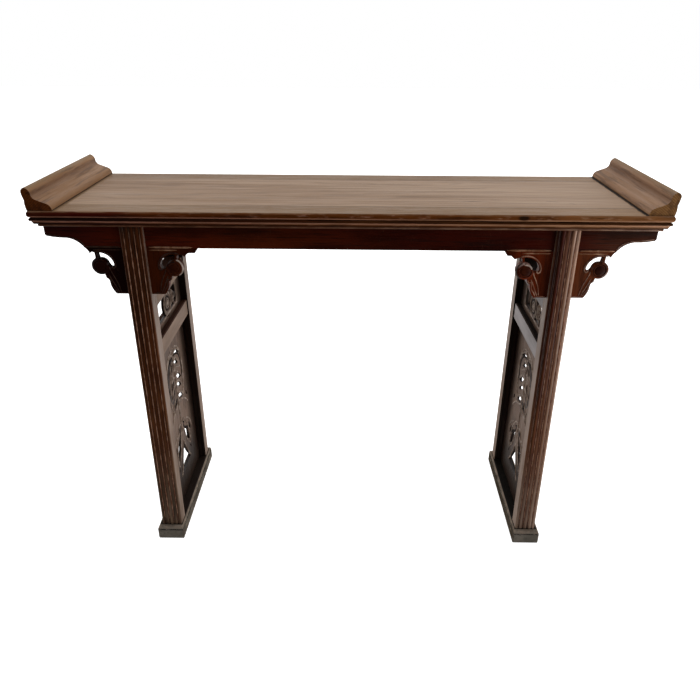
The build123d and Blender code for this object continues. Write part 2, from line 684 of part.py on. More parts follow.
def right_front_leg():
    foot = Pos(LEG_FOOT_X, -(LEG_FOOT_FACE_Y - LEG_DEPTH / 2), FOOT_BLOCK_HEIGHT) * leg_section()
    run = Vector(LEG_TOP_X - LEG_FOOT_X, LEG_FOOT_FACE_Y - LEG_TOP_FACE_Y, SLAB_UNDERSIDE - FOOT_BLOCK_HEIGHT)
    leg = extrude(foot, amount=run.length, dir=run)
    slot = block(
        0, BIG,
        -APRON_FACE_Y - FIT, -APRON_BACK_Y + FIT,
        SPANDREL_BOTTOM - FIT, SLAB_UNDERSIDE + 1,
    )
    leg -= slot
    for x0, x1, y0, y1, z0, z1 in leg_tenon_boxes():
        leg += block(x0, x1, y0, y1, z0 - 2, z1)
    x0, x1, y0, y1, z0, z1 = foot_tenon_box()
    leg += block(x0, x1, y0, y1, z0, z1 + 2)
    leg -= peg_bar(FIT)
    leg -= panel_groove(FOOT_BLOCK_HEIGHT - 1, MID_RAIL_BOTTOM + PANEL_TONGUE + ROOM, SIDE_X)
    leg -= panel_groove(MID_RAIL_TOP - PANEL_TONGUE - ROOM, UPPER_RAIL_BOTTOM + PANEL_TONGUE + ROOM,
                        UPPER_PANEL_X)
    for low, height in ((MID_RAIL_BOTTOM, MID_RAIL_HEIGHT), (UPPER_RAIL_BOTTOM, UPPER_RAIL_HEIGHT)):
        x0, x1, y0, y1, z0, z1 = rail_tenon_box(low, height)
        leg -= grown(x0, x1, y0 - ROOM, y1 + ROOM, z0, z1)
    return leg


# Rails, pierced panels and foot blocks -------------------------------------------------------
def right_rail(low, height, panel_below=None, panel_above=None):
    """Rail between the legs of one end, grooved for panels that stand at the given X."""
    body = side_prism(low, low + height, -FIT, RAIL_INNER_X, RAIL_INNER_X + RAIL_THICKNESS)
    body = chamfer(body.edges().filter_by(Axis.Y), RAIL_EDGE)
    rail = body + block(*rail_tenon_box(low, height))
    half = PANEL_THICKNESS / 2 + FIT
    depth = PANEL_TONGUE + ROOM
    top = low + height
    if panel_below:
        rail -= block(panel_below - half, panel_below + half, -BIG, BIG, low - 1, low + depth)
    if panel_above:
        rail -= block(panel_above - half, panel_above + half, -BIG, BIG, top - depth, top + 1)
    return rail


def right_panel(low, high, middle_x, cuts):
    """Thin board tongued into the legs and the members above and below, pierced by the cuts."""
    x0, x1 = middle_x - PANEL_THICKNESS / 2, middle_x + PANEL_THICKNESS / 2
    panel = side_prism(low - PANEL_TONGUE, high + PANEL_TONGUE, PANEL_TONGUE, x0, x1)
    return panel - [along_x(cut, x0 - 1, x1 + 1) for cut in cuts]


def leaf(y, z, length, width, tilt):
    """Pointed oval."""
    shape = board_face(
        ThreePointArc((-length / 2, 0), (0, width / 2), (length / 2, 0)),
        ThreePointArc((length / 2, 0), (0, -width / 2), (-length / 2, 0)),
    )
    return Pos(y, z) * Rot(0, 0, tilt) * shape


def nick(y, z, length, width, tilt):
    """Lozenge."""
    shape = make_face(
        Polyline((-length / 2, 0), (0, -width / 2), (length / 2, 0), (0, width / 2), close=True)
    )
    return Pos(y, z) * Rot(0, 0, tilt) * shape


def ring_slit(side):
    """Curved slit inside the ring medallion."""
    middle = 0.0 if side > 0 else 180.0
    first, last = math.radians(middle - RING_SLIT_SPAN / 2), math.radians(middle + RING_SLIT_SPAN / 2)
    centre = math.radians(middle)
    bow = (RING_SLIT_INNER + RING_SLIT_OUTER) / 2

    def at(radius, turn):
        return (radius * math.cos(turn), radius * math.sin(turn))

    return board_face(
        ThreePointArc(at(bow, first), at(RING_SLIT_OUTER, centre), at(bow, last)),
        ThreePointArc(at(bow, last), at(RING_SLIT_INNER, centre), at(bow, first)),
    )


def curl():
    """Open curl, tied to the end of the window and to its sill."""
    ring = Circle(CURL_RADIUS) - Circle(CURL_RADIUS - CURL_BAR)
    gap = Pos(-CURL_RADIUS, -CURL_RADIUS / 2) * Rectangle(CURL_RADIUS, CURL_RADIUS)
    stem_length = WINDOW_LENGTH / 2 - CURL_REACH - CURL_RADIUS + CURL_BAR
    stem = Pos(CURL_RADIUS - CURL_BAR / 2 + stem_length / 2, 0) * Rectangle(stem_length, CURL_BAR)
    foot_length = WINDOW_HEIGHT / 2 - CURL_RADIUS + CURL_BAR
    foot = Pos(0, CURL_BAR / 2 - CURL_RADIUS - foot_length / 2) * Rectangle(CURL_BAR, foot_length)
    return ring - gap + stem + foot


def upper_cuts():
    """Window of the right upper panel: a ring medallion between two openings, a curl in the front one."""
    middle = (MID_RAIL_TOP + UPPER_RAIL_BOTTOM) / 2
    window = Rectangle(WINDOW_LENGTH, WINDOW_HEIGHT)
    window = chamfer(window.vertices(), WINDOW_CORNER)
    field = window - Circle(RING_RADIUS) - Pos(-CURL_REACH, 0) * mirror(curl(), about=Plane.YZ)
    cuts = [Pos(0, middle) * face for face in field.faces()]
    cuts += [Pos(0, middle) * ring_slit(side) for side in (-1, 1)]
    return cuts


def arch():
    """Arched foot opening with sides drawn in to a point."""
    low, high = ARCH_Z, ARCH_Z + ARCH_HEIGHT
    waist = (ARCH_HALF * ARCH_WAIST[0], low + ARCH_HEIGHT * ARCH_WAIST[1])
    return board_face(
        ThreePointArc((-ARCH_HALF, low), (0, low - ARCH_SAG), (ARCH_HALF, low)),
        ThreePointArc((ARCH_HALF, low), waist, (0, high)),
        ThreePointArc((0, high), (-waist[0], waist[1]), (-ARCH_HALF, low)),
    )


def lower_cuts():
    """Piercings of the lower panel: leafy crown, plain body, two sprouts over an arched foot."""
    cuts = [arch()]
    for side in (-1, 1):
        for y, z, length, width, tilt in LEAVES:
            cuts.append(leaf(side * y, z, length, width, side * tilt))
        for y, z, length, width, tilt in NICKS:
            cuts.append(nick(side * y, z, length, width, side * tilt))
    return cuts


def foot_outline(half):
    """Section of the foot block: worn lower edges, a quirk and a rounded shoulder."""
    wear, top = FOOT_BLOCK_WEAR, FOOT_BLOCK_HEIGHT
    quirk = top - FOOT_SHOULDER_HEIGHT
    floor_end = (half - wear, 0)
    side_low = (half, wear)
    side_high = (half, quirk)
    shoulder = (half - FOOT_QUIRK, quirk + FOOT_QUIRK / 2)
    brow = (half - FOOT_QUIRK - 0.2 * FOOT_SHOULDER_SET, top - 0.25 * FOOT_SHOULDER_HEIGHT)
    crown = (half - FOOT_SHOULDER_SET, top)
    right = board_face(
        Line((0, 0), floor_end),
        ThreePointArc(floor_end, (half - 0.3 * wear, 0.3 * wear), side_low),
        Line(side_low, side_high),
        Line(side_high, shoulder),
        ThreePointArc(shoulder, brow, crown),
        Line(crown, (0, top)),
        Line((0, top), (0, 0)),
    )
    return right + mirror(right, about=Plane.YZ)


def right_foot_block():
    """Long foot under both legs of one end, its shoulder mitred round the corners."""
    half_x, half_y = FOOT_BLOCK_WIDTH / 2, FOOT_BLOCK_LENGTH / 2
    long_way = along_y(foot_outline(half_x), half_y, -half_y)
    short_way = along_x(foot_outline(half_y), -half_x, half_x)
    foot = long_way & short_way
    cut = math.sqrt(2) * FOOT_BLOCK_CORNER
    corner = Rot(0, 0, 45) * Box(cut, cut, 3 * FOOT_BLOCK_HEIGHT)
    for x in (-half_x, half_x):
        for y in (-half_y, half_y):
            foot -= Pos(x, y, 0) * corner
    foot = Pos(FOOT_BLOCK_X, 0, 0) * foot
    x0, x1, y0, y1, z0, z1 = foot_tenon_box()
    mortise = grown(x0, x1, y0, y1, z0 - ROOM, z1 + 1)
    pegs = peg_bar(FIT)
    half = PANEL_THICKNESS / 2 + FIT
    reach = leg_back_y(FOOT_BLOCK_HEIGHT - PANEL_TONGUE) + PANEL_TONGUE + FIT
    depth = PANEL_TONGUE + ROOM
    top = FOOT_BLOCK_HEIGHT
    groove = block(SIDE_X - half, SIDE_X + half, -reach, reach, top - depth, top + 1)
    for cut in (mortise, pegs):
        foot = foot - cut - flip_y(cut)
    return foot - groove


# Assembly ----------------------------------------------------------------------------------
def left_and_right(name, right):
    return {f"right_{name}": right, f"left_{name}": flip_x(right)}


def four_corners(name, right_front):
    back = flip_y(right_front)
    pieces = {f"right_front_{name}": right_front, f"right_back_{name}": back}
    pieces.update({f"left_front_{name}": flip_x(right_front), f"left_back_{name}": flip_x(back)})
    return pieces


def front_and_back(name, front):
    return {f"front_{name}": front, f"back_{name}": flip_y(front)}


def build():
    pieces = {}
    pieces.update(front_and_back("top_rail", front_frame_member()))
    pieces.update(left_and_right("top_end_rail", right_frame_member()))
    edge = FRAME_INNER_Y - FIT
    tongue = TONGUE_LENGTH + FIT
    pieces["front_top_board"] = top_board(-edge, BOARD_SEAM_Y, tongue, 0)
    pieces["back_top_board"] = top_board(BOARD_SEAM_Y, edge, 0, tongue)
    for name, x in zip(BATTEN_NAMES, BATTEN_PLACES):
        pieces[name] = batten(x)
    pieces.update(left_and_right("flange", right_flange()))
    pieces.update(front_and_back("edge_strip", front_strip()))
    pieces.update(front_and_back("apron", front_apron()))
    pieces.update(left_and_right("end_apron", right_end_apron()))
    pieces.update(four_corners("spandrel", right_front_spandrel()))
    pieces.update(four_corners("leg", right_front_leg()))
    upper_rail = right_rail(UPPER_RAIL_BOTTOM, UPPER_RAIL_HEIGHT, panel_below=UPPER_PANEL_X)
    mid_rail = right_rail(MID_RAIL_BOTTOM, MID_RAIL_HEIGHT, panel_below=SIDE_X, panel_above=UPPER_PANEL_X)
    pieces.update(left_and_right("upper_rail", upper_rail))
    pieces.update(left_and_right("middle_rail", mid_rail))
    upper = right_panel(MID_RAIL_TOP, UPPER_RAIL_BOTTOM, UPPER_PANEL_X, upper_cuts())
    lower = right_panel(FOOT_BLOCK_HEIGHT, MID_RAIL_BOTTOM, SIDE_X, lower_cuts())
    pieces["right_upper_panel"] = upper
    pieces["left_upper_panel"] = flip_x(flip_y(upper))
    pieces.update(left_and_right("lower_panel", lower))
    pieces.update(left_and_right("foot_block", right_foot_block()))
    peg = peg_bar()
    pegs = [peg, flip_y(peg), flip_x(peg), flip_x(flip_y(peg))]
    pieces["foot_pegs"] = Compound(children=pegs)
    return pieces


def main():
    os.makedirs("parts", exist_ok=True)
    for name, piece in build().items():
        piece.label = name
        export_step(piece, f"parts/{name}.step")


main()
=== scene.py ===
import math

import bpy
import bmesh
from mathutils import Matrix, Vector


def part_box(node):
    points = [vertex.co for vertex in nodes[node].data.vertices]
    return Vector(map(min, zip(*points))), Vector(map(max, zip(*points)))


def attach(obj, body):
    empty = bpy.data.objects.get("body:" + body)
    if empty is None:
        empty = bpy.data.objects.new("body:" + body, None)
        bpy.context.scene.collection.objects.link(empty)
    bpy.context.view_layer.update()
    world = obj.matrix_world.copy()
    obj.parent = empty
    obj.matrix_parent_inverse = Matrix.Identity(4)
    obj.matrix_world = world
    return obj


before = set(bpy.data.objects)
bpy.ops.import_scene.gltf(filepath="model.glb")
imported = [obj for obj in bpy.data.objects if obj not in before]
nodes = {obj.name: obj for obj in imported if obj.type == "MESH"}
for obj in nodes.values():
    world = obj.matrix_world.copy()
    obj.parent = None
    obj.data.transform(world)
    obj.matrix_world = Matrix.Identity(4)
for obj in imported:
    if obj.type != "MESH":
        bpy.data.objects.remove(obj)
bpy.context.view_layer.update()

SIDES = {"left": -1, "right": 1}
ENDS = {"front": -1, "back": 1}

# Places read from the frame, in metres -------------------------------------------------------
RAIL_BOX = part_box("front_top_rail")
APRON_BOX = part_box("front_apron")
SPANDREL_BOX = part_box("right_front_spandrel")
LEG_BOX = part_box("right_front_leg")
FLANGE_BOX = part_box("right_flange")
FOOT_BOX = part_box("right_foot_block")
LOWER_PANEL_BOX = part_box("right_lower_panel")
UPPER_PANEL_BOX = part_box("right_upper_panel")
MIDDLE_RAIL_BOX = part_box("right_middle_rail")
UPPER_RAIL_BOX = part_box("right_upper_rail")

TOP = RAIL_BOX[1][2]
SLAB_UNDERSIDE = RAIL_BOX[0][2]
RAIL_INNER = -RAIL_BOX[1][1]            # edge that meets the boards
BOARD_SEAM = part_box("front_top_board")[1][1]
FLANGE_FOOT = FLANGE_BOX[0][0]
APRON_FACE = -APRON_BOX[0][1]
APRON_FOOT = APRON_BOX[0][2]
SPANDREL_FOOT = SPANDREL_BOX[0][2]
RING_HEIGHT = (MIDDLE_RAIL_BOX[1][2] + UPPER_RAIL_BOX[0][2]) / 2
FOOT_TOP = FOOT_BOX[1][2]
LEG_HALF_WIDTH = 0.025
LEG_SPLAY = LEG_BOX[1][0] - LEG_BOX[0][0] - 2 * LEG_HALF_WIDTH
LEG_TOP_X = LEG_BOX[0][0] + LEG_HALF_WIDTH
LEG_LEAN = LEG_SPLAY / (SLAB_UNDERSIDE - FOOT_TOP)
LEG_FOOT_FACE = -LEG_BOX[0][1]          # y of the leg's outer face at its foot
LEG_RAKE = 0.012
LEG_TOP_FACE = LEG_FOOT_FACE - LEG_RAKE
BEADS_ACROSS = (-0.68, -0.22, 0.22, 0.68)     # thin beads of a leg, in half widths from its middle


# Camera --------------------------------------------------------------------------------------
CAMERA_PLACE = (0.0194, -1.471356, 1.220801)
CAMERA_YAW = -0.715                     # degrees, to the right
CAMERA_PITCH = 27.052                   # degrees, down
CAMERA_ROLL = 0.273
FOCAL_SHARE = 650 / 700                 # focal length over the picture's width
SENSOR_WIDTH = 36.0


def make_camera():
    yaw, pitch, roll = (math.radians(turn) for turn in (CAMERA_YAW, CAMERA_PITCH, CAMERA_ROLL))
    ahead = Vector((math.sin(yaw) * math.cos(pitch), math.cos(yaw) * math.cos(pitch), -math.sin(pitch)))
    right = Vector((math.cos(yaw), -math.sin(yaw), 0))
    up = right.cross(ahead)
    across = right * math.cos(roll) + up * math.sin(roll)
    upward = up * math.cos(roll) - right * math.sin(roll)
    data = bpy.data.cameras.new("camera")
    data.sensor_width = SENSOR_WIDTH
    data.lens = SENSOR_WIDTH * FOCAL_SHARE
    data.clip_start = 0.05
    camera = bpy.data.objects.new("camera", data)
    turn = Matrix((across, upward, -ahead)).transposed().to_4x4()
    camera.matrix_world = Matrix.Translation(CAMERA_PLACE) @ turn
    bpy.context.scene.collection.objects.link(camera)
    bpy.context.scene.camera = camera


# Node helpers --------------------------------------------------------------------------------
def tone(red, green, blue):
    """Linear colour of an sRGB one given from 0 to 255."""
    def linear(value):
        value /= 255
        return value / 12.92 if value <= 0.04045 else ((value + 0.055) / 1.055) ** 2.4
    return linear(red), linear(green), linear(blue)


class Graph:
    """Short calls for a node tree."""

    def __init__(self, tree):
        self.tree = tree
        self.tree.nodes.clear()

    def add(self, kind, **settings):
        node = self.tree.nodes.new(kind)
        for key, value in settings.items():
            setattr(node, key, value)
        return node

    def link(self, source, target):
        if hasattr(source, "is_linked"):
            self.tree.links.new(source, target)
        elif isinstance(source, tuple) and len(source) == 3 and target.type == "RGBA":
            target.default_value = (*source, 1.0)
        else:
            target.default_value = source

    def split(self, vector):
        node = self.add("ShaderNodeSeparateXYZ")
        self.link(vector, node.inputs[0])
        return node.outputs

    def math(self, operation, a, b=0.0):
        node = self.add("ShaderNodeMath", operation=operation)
        for value, socket in zip((a, b), node.inputs):
            self.link(value, socket)
        return node.outputs[0]

    def times(self, first, *rest):
        for value in rest:
            first = self.math("MULTIPLY", first, value)
        return first

    def ramp(self, value, low, high, out_low=0.0, out_high=1.0):
        node = self.add("ShaderNodeMapRange", interpolation_type="SMOOTHSTEP")
        for item, socket in zip((value, low, high, out_low, out_high), node.inputs):
            self.link(item, socket)
        return node.outputs[0]

    def mix(self, factor, a, b):
        node = self.add("ShaderNodeMix", data_type="RGBA")
        self.link(factor, node.inputs[0])
        self.link(a, node.inputs[6])
        self.link(b, node.inputs[7])
        return node.outputs[2]

    def stops(self, value, *pairs):
        """Colour that changes along a value, from (place, colour) pairs."""
        colour = pairs[0][1]
        for (low, _), (high, tint) in zip(pairs, pairs[1:]):
            colour = self.mix(self.ramp(value, low, high), colour, tint)
        return colour


class Surface(Graph):
    """A material's tree, with its place on the object and the way it faces at hand."""

    def __init__(self, name):
        self.material = bpy.data.materials.new(name)
        self.material.use_nodes = True
        super().__init__(self.material.node_tree)
        self.shader = self.add("ShaderNodeBsdfPrincipled")
        output = self.add("ShaderNodeOutputMaterial")
        self.link(self.shader.outputs[0], output.inputs[0])
        self.place = self.add("ShaderNodeTexCoord").outputs["Object"]
        self.x, self.y, self.z = self.split(self.place)
        self.facing = self.add("ShaderNodeNewGeometry").outputs["Normal"]
        self.nx, self.ny, self.nz = self.split(self.facing)

    def noise(self, scale, detail=3.0, rough=0.55, shift=(0, 0, 0), warp=0.0):
        """Noise whose three scales are in waves per metre along X, Y and Z."""
        mapping = self.add("ShaderNodeMapping")
        self.link(self.place, mapping.inputs["Vector"])
        mapping.inputs["Scale"].default_value = scale
        mapping.inputs["Location"].default_value = shift
        node = self.add("ShaderNodeTexNoise")
        self.link(mapping.outputs[0], node.inputs["Vector"])
        node.inputs["Scale"].default_value = 1.0
        node.inputs["Detail"].default_value = detail
        node.inputs["Roughness"].default_value = rough
        node.inputs["Distortion"].default_value = warp
        return node.outputs["Fac"]

    def distance(self, *pairs):
        """Distance from a point, from (place, point's place) pairs."""
        squares = [self.math("POWER", self.math("SUBTRACT", place, point), 2.0) for place, point in pairs]
        return self.math("SQRT", self.math("ADD", *squares))

    def near(self, value, centre, reach, soft):
        """1 within reach of the centre, falling to 0 over the soft distance."""
        away = self.math("ABSOLUTE", self.math("SUBTRACT", value, centre))
        return self.ramp(away, reach, reach + soft, 1.0, 0.0)

    def rounded(self, radius):
        """Normal with the edges softened, and how near an edge is."""
        node = self.add("ShaderNodeBevel", samples=4)
        node.inputs["Radius"].default_value = radius
        dot = self.add("ShaderNodeVectorMath", operation="DOT_PRODUCT")
        self.link(node.outputs[0], dot.inputs[0])
        self.link(self.facing, dot.inputs[1])
        return node.outputs[0], self.ramp(dot.outputs["Value"], 0.985, 0.86)

    def hollow_shade(self, distance):
        """How deep a place lies between what stands round it, 0 to 1."""
        node = self.add("ShaderNodeAmbientOcclusion", samples=6)
        node.inputs["Distance"].default_value = distance
        return self.ramp(node.outputs["AO"], 0.93, 0.50)

    def bump(self, height, depth, normal=None):
        node = self.add("ShaderNodeBump")
        node.inputs["Distance"].default_value = depth
        self.link(height, node.inputs["Height"])
        if normal is not None:
            self.link(normal, node.inputs["Normal"])
        return node.outputs[0]

    def finish(self, colour, roughness, specular, normal):
        self.link(colour, self.shader.inputs["Base Color"])
        self.link(roughness, self.shader.inputs["Roughness"])
        self.shader.inputs["Specular IOR Level"].default_value = specular
        self.link(normal, self.shader.inputs["Normal"])
        return self.material


def grain(axis, along, across):
    return tuple(along if name == axis else across for name in "xyz")


# Materials -----------------------------------------------------------------------------------
TAUPE = tone(142, 116, 92)
WARM_TAUPE = tone(122, 93, 66)
PALE_WEAR_AND_LIGHT = tone(168, 144, 122)
PORE_BROWN = tone(74, 50, 34)
SEAM_BROWN = tone(46, 31, 22)
GROWTH_LINES = 30.0                     # a metre, across the grain


def faded_colour(s, axis, shift=(0, 0, 0)):
    """Sun-faded wood: broad bands, growth lines, streaks and pores along the grain."""
    broad = s.noise(grain(axis, 1.3, 11), 4, 0.6, shift)
    drift = s.noise(grain(axis, 1.6, 7), 3, 0.55, shift)
    streak = s.noise(grain(axis, 3.5, 95), 4, 0.62, shift)
    pores = s.noise(grain(axis, 18, 800), 2, 0.6, shift)
    across = s.y if axis == "x" else s.x
    wander = s.math("ADD", s.times(across, GROWTH_LINES), s.times(drift, 7.0))
    rings = s.math("SINE", s.times(wander, 2 * math.pi))
    colour = s.mix(s.ramp(broad, 0.36, 0.66), WARM_TAUPE, TAUPE)
    colour = s.mix(s.times(s.ramp(rings, 0.35, 1.0), 0.22), colour, PORE_BROWN)
    colour = s.mix(s.ramp(streak, 0.54, 0.72, 0.0, 0.42), colour, PORE_BROWN)
    colour = s.mix(s.ramp(streak, 0.42, 0.28, 0.0, 0.35), colour, PALE_WEAR_AND_LIGHT)
    colour = s.mix(s.ramp(pores, 0.58, 0.74, 0.0, 0.38), colour, PORE_BROWN)
    relief = s.math("ADD", streak, s.times(pores, 0.7))
    return colour, relief, broad


def blotches(s, colour, shift=(0, 0, 0)):
    """Old stains and small dark marks on a top."""
    stain = s.noise((5, 14, 9), 4, 0.6, shift, 0.4)
    colour = s.mix(s.ramp(stain, 0.56, 0.74, 0.0, 0.35), colour, WARM_TAUPE)
    specks = s.noise((60, 150, 90), 2, 0.5, shift)
    return s.mix(s.ramp(specks, 0.70, 0.78, 0.0, 0.5), colour, SEAM_BROWN)


LIP_INWARD = 0.0016                     # from a seam to its worn lip


def seams(s, colour):
    """Dark joints round the floating boards, each with a pale worn lip."""
    for middle in (-RAIL_INNER, RAIL_INNER):
        inward = LIP_INWARD if middle < 0 else -LIP_INWARD
        worn = s.ramp(s.noise((7, 2, 2), 3, 0.6), 0.45, 0.6)
        strong = s.ramp(s.x, -0.45, 0.15, 0.25, 1.0)
        pale = s.times(s.near(s.y, middle + inward, 0.0008, 0.0010), worn, strong, 0.8)
        colour = s.mix(pale, colour, PALE_WEAR_AND_LIGHT)
        colour = s.mix(s.times(s.near(s.y, middle, 0.0006, 0.0009), strong), colour, SEAM_BROWN)
    patchy = s.ramp(s.noise((4, 2, 2), 3, 0.6, (3, 0, 0)), 0.4, 0.6, 0.35, 1.0)
    colour = s.mix(s.times(s.near(s.y, BOARD_SEAM, 0.0002, 0.0007), patchy), colour, SEAM_BROWN)
    chipped = s.math("ADD", s.x, s.times(s.noise((90, 60, 1), 3, 0.6, (8, 1, 0)), 0.006))
    gap = s.near(chipped, FLANGE_FOOT + 0.0005, 0.0026, 0.0012)
    colour = s.mix(s.times(gap, 0.95), colour, tone(16, 8, 5))
    return s.mix(s.times(s.near(s.x, -FLANGE_FOOT, 0.0030, 0.0040), patchy, 0.8), colour, tone(92, 68, 42))


# Scratches on the boards, each from one (x, y) to another.
SCRATCHES = (((0.422, -0.066), (0.452, -0.076)), ((0.467, -0.083), (0.483, -0.094)))


def board_material():
    s = Surface("faded_board")
    colour, relief, _ = faded_colour(s, "x")
    colour = blotches(s, colour)
    # Paler towards the right: painted light falling from the right side.
    colour = s.mix(s.ramp(s.x, -0.3, 0.6, 0.0, 0.3), colour, PALE_WEAR_AND_LIGHT)
    crack = s.noise((1.1, 60, 1), 2, 0.5, (7, 3, 0))
    crack = s.near(crack, 0.5, 0.0015, 0.004)
    crack = s.times(crack, s.ramp(s.noise((2.5, 9, 1), 2, 0.5, (1, 8, 0)), 0.52, 0.62))
    colour = s.mix(s.times(crack, 0.85), colour, SEAM_BROWN)
    for (x0, y0), (x1, y1) in SCRATCHES:
        slope = (y1 - y0) / (x1 - x0)
        line = s.math("ADD", y0 - slope * x0, s.times(s.x, slope))
        here = s.times(s.near(s.math("SUBTRACT", s.y, line), 0.0, 0.0006, 0.0009),
                       s.near(s.x, (x0 + x1) / 2, (x1 - x0) / 2 - 0.006, 0.006))
        colour = s.mix(s.times(here, 0.8), colour, SEAM_BROWN)
    colour = seams(s, colour)
    height = s.math("SUBTRACT", relief, s.times(crack, 2.0))
    rough = s.ramp(relief, 0.6, 1.1, 0.48, 0.62)
    return s.finish(colour, rough, 0.12, s.bump(height, 0.0005))


# Light lines along the arrises of the moulding, rubbed wear with painted highlight: depth below the top,
# half height, strength.
WORN_AND_LIT_LINES = ((0.0118, 0.0014, 0.95), (0.0220, 0.0019, 0.95))
QUIRK_DEPTH = 0.0165
QUIRK_REACH = 0.0024
FOOT_DEPTH = 0.0250
KNOT_X = 0.352
KNOT_DEPTH = 0.006
KNOT_SQUEEZE = 0.45                     # its height over its length


def moulding_colour(s, axis):
    """Worn dark moulding, brown hollows of painted shade between arrises that are rubbed and painted with
    highlight, darker towards the left end with painted shade; with the height of its wear.
    """
    broad = s.noise(grain(axis, 6, 30), 4, 0.6, (2, 2, 2))
    streak = s.noise(grain(axis, 12, 260), 4, 0.6, (1, 2, 2))
    worn = s.noise(grain(axis, 26, 120), 4, 0.65, (5, 1, 2))
    # Darker towards the left end and paler towards the right, with rubbed patches fading out to the left:
    # painted shade and painted light, the light falling from the right side.
    brown = s.stops(s.x, (-0.52, tone(76, 16, 4)), (-0.38, tone(104, 50, 14)), (-0.05, tone(112, 60, 22)),
                    (0.30, tone(124, 70, 30)), (0.56, tone(150, 100, 58)))
    colour = s.mix(s.ramp(broad, 0.36, 0.66, 0.0, 0.55), brown, tone(66, 30, 8))
    colour = s.mix(s.ramp(streak, 0.50, 0.68, 0.0, 0.7), colour, tone(34, 15, 6))
    rubbed = s.mix(s.ramp(s.x, -0.5, 0.5), tone(196, 138, 114), tone(186, 140, 108))
    strength = s.ramp(s.x, -0.5, 0.1, 0.05, 0.6)
    colour = s.mix(s.times(s.ramp(worn, 0.54, 0.68), strength), colour, rubbed)
    # Painted shade: the quirk and the band along the foot of the moulding are dark, darkest towards the left
    # end.
    hollow_shade = s.stops(s.x, (-0.5, tone(36, 10, 3)), (-0.3, tone(64, 28, 9)), (0.1, tone(82, 44, 18)),
                     (0.45, tone(76, 44, 20)))
    hollow_shade = s.mix(s.ramp(streak, 0.45, 0.62, 0.0, 0.6), hollow_shade, tone(26, 10, 4))
    colour = s.mix(s.near(s.z, TOP - QUIRK_DEPTH, QUIRK_REACH, 0.0010), colour, hollow_shade)
    colour = s.mix(s.times(s.ramp(s.z, TOP - FOOT_DEPTH, TOP - FOOT_DEPTH - 0.001), 0.7), colour, hollow_shade)
    # Light lines along the arrises: painted highlight with rubbed wear, broken by the streaks.
    for depth, reach, much in WORN_AND_LIT_LINES:
        line = s.times(s.near(s.z, TOP - depth, reach, 0.0009), s.ramp(streak, 0.66, 0.46, 0.45, 1.0), much)
        colour = s.mix(line, colour, rubbed)
    knot = s.distance((s.times(s.math("SUBTRACT", s.x, KNOT_X), KNOT_SQUEEZE), 0.0), (s.z, TOP - KNOT_DEPTH))
    colour = s.mix(s.ramp(knot, 0.007, 0.003, 0.0, 0.9), colour, tone(34, 20, 8))
    lip = s.times(s.near(s.z, TOP - 0.0008, 0.0008, 0.0012), s.ramp(worn, 0.35, 0.6, 0.15, 0.8))
    colour = s.mix(lip, colour, tone(132, 98, 72))
    return colour, s.math("ADD", worn, streak)


def rail_material(name, axis, shift):
    """Top frame member: faded above, dark moulding on its outer edge."""
    s = Surface(name)
    faded, relief, _ = faded_colour(s, axis, shift)
    # Warmer, and paler towards the right: painted light falling from the right side.
    faded = s.mix(0.6, faded, s.mix(s.ramp(s.x, 0.1, 0.6), tone(102, 75, 44), tone(120, 90, 58)))
    faded = seams(s, blotches(s, faded, shift))
    dark, wear = moulding_colour(s, axis)
    edge = s.ramp(s.nz, 0.96, 0.80)
    below = s.ramp(s.z, TOP - 0.0004, TOP - 0.0016)
    outside = s.math("MAXIMUM", edge, below)
    colour = s.mix(outside, faded, dark)
    rough = s.math("SUBTRACT", s.ramp(wear, 0.8, 1.2, 0.377, 0.497), s.times(outside, 0.0454))
    return s.finish(colour, rough, 0.06, s.bump(s.math("ADD", relief, wear), 0.0005))


FLANGE_HEART = (0.58, TOP - 0.05)       # x and z of the growth rings' middle


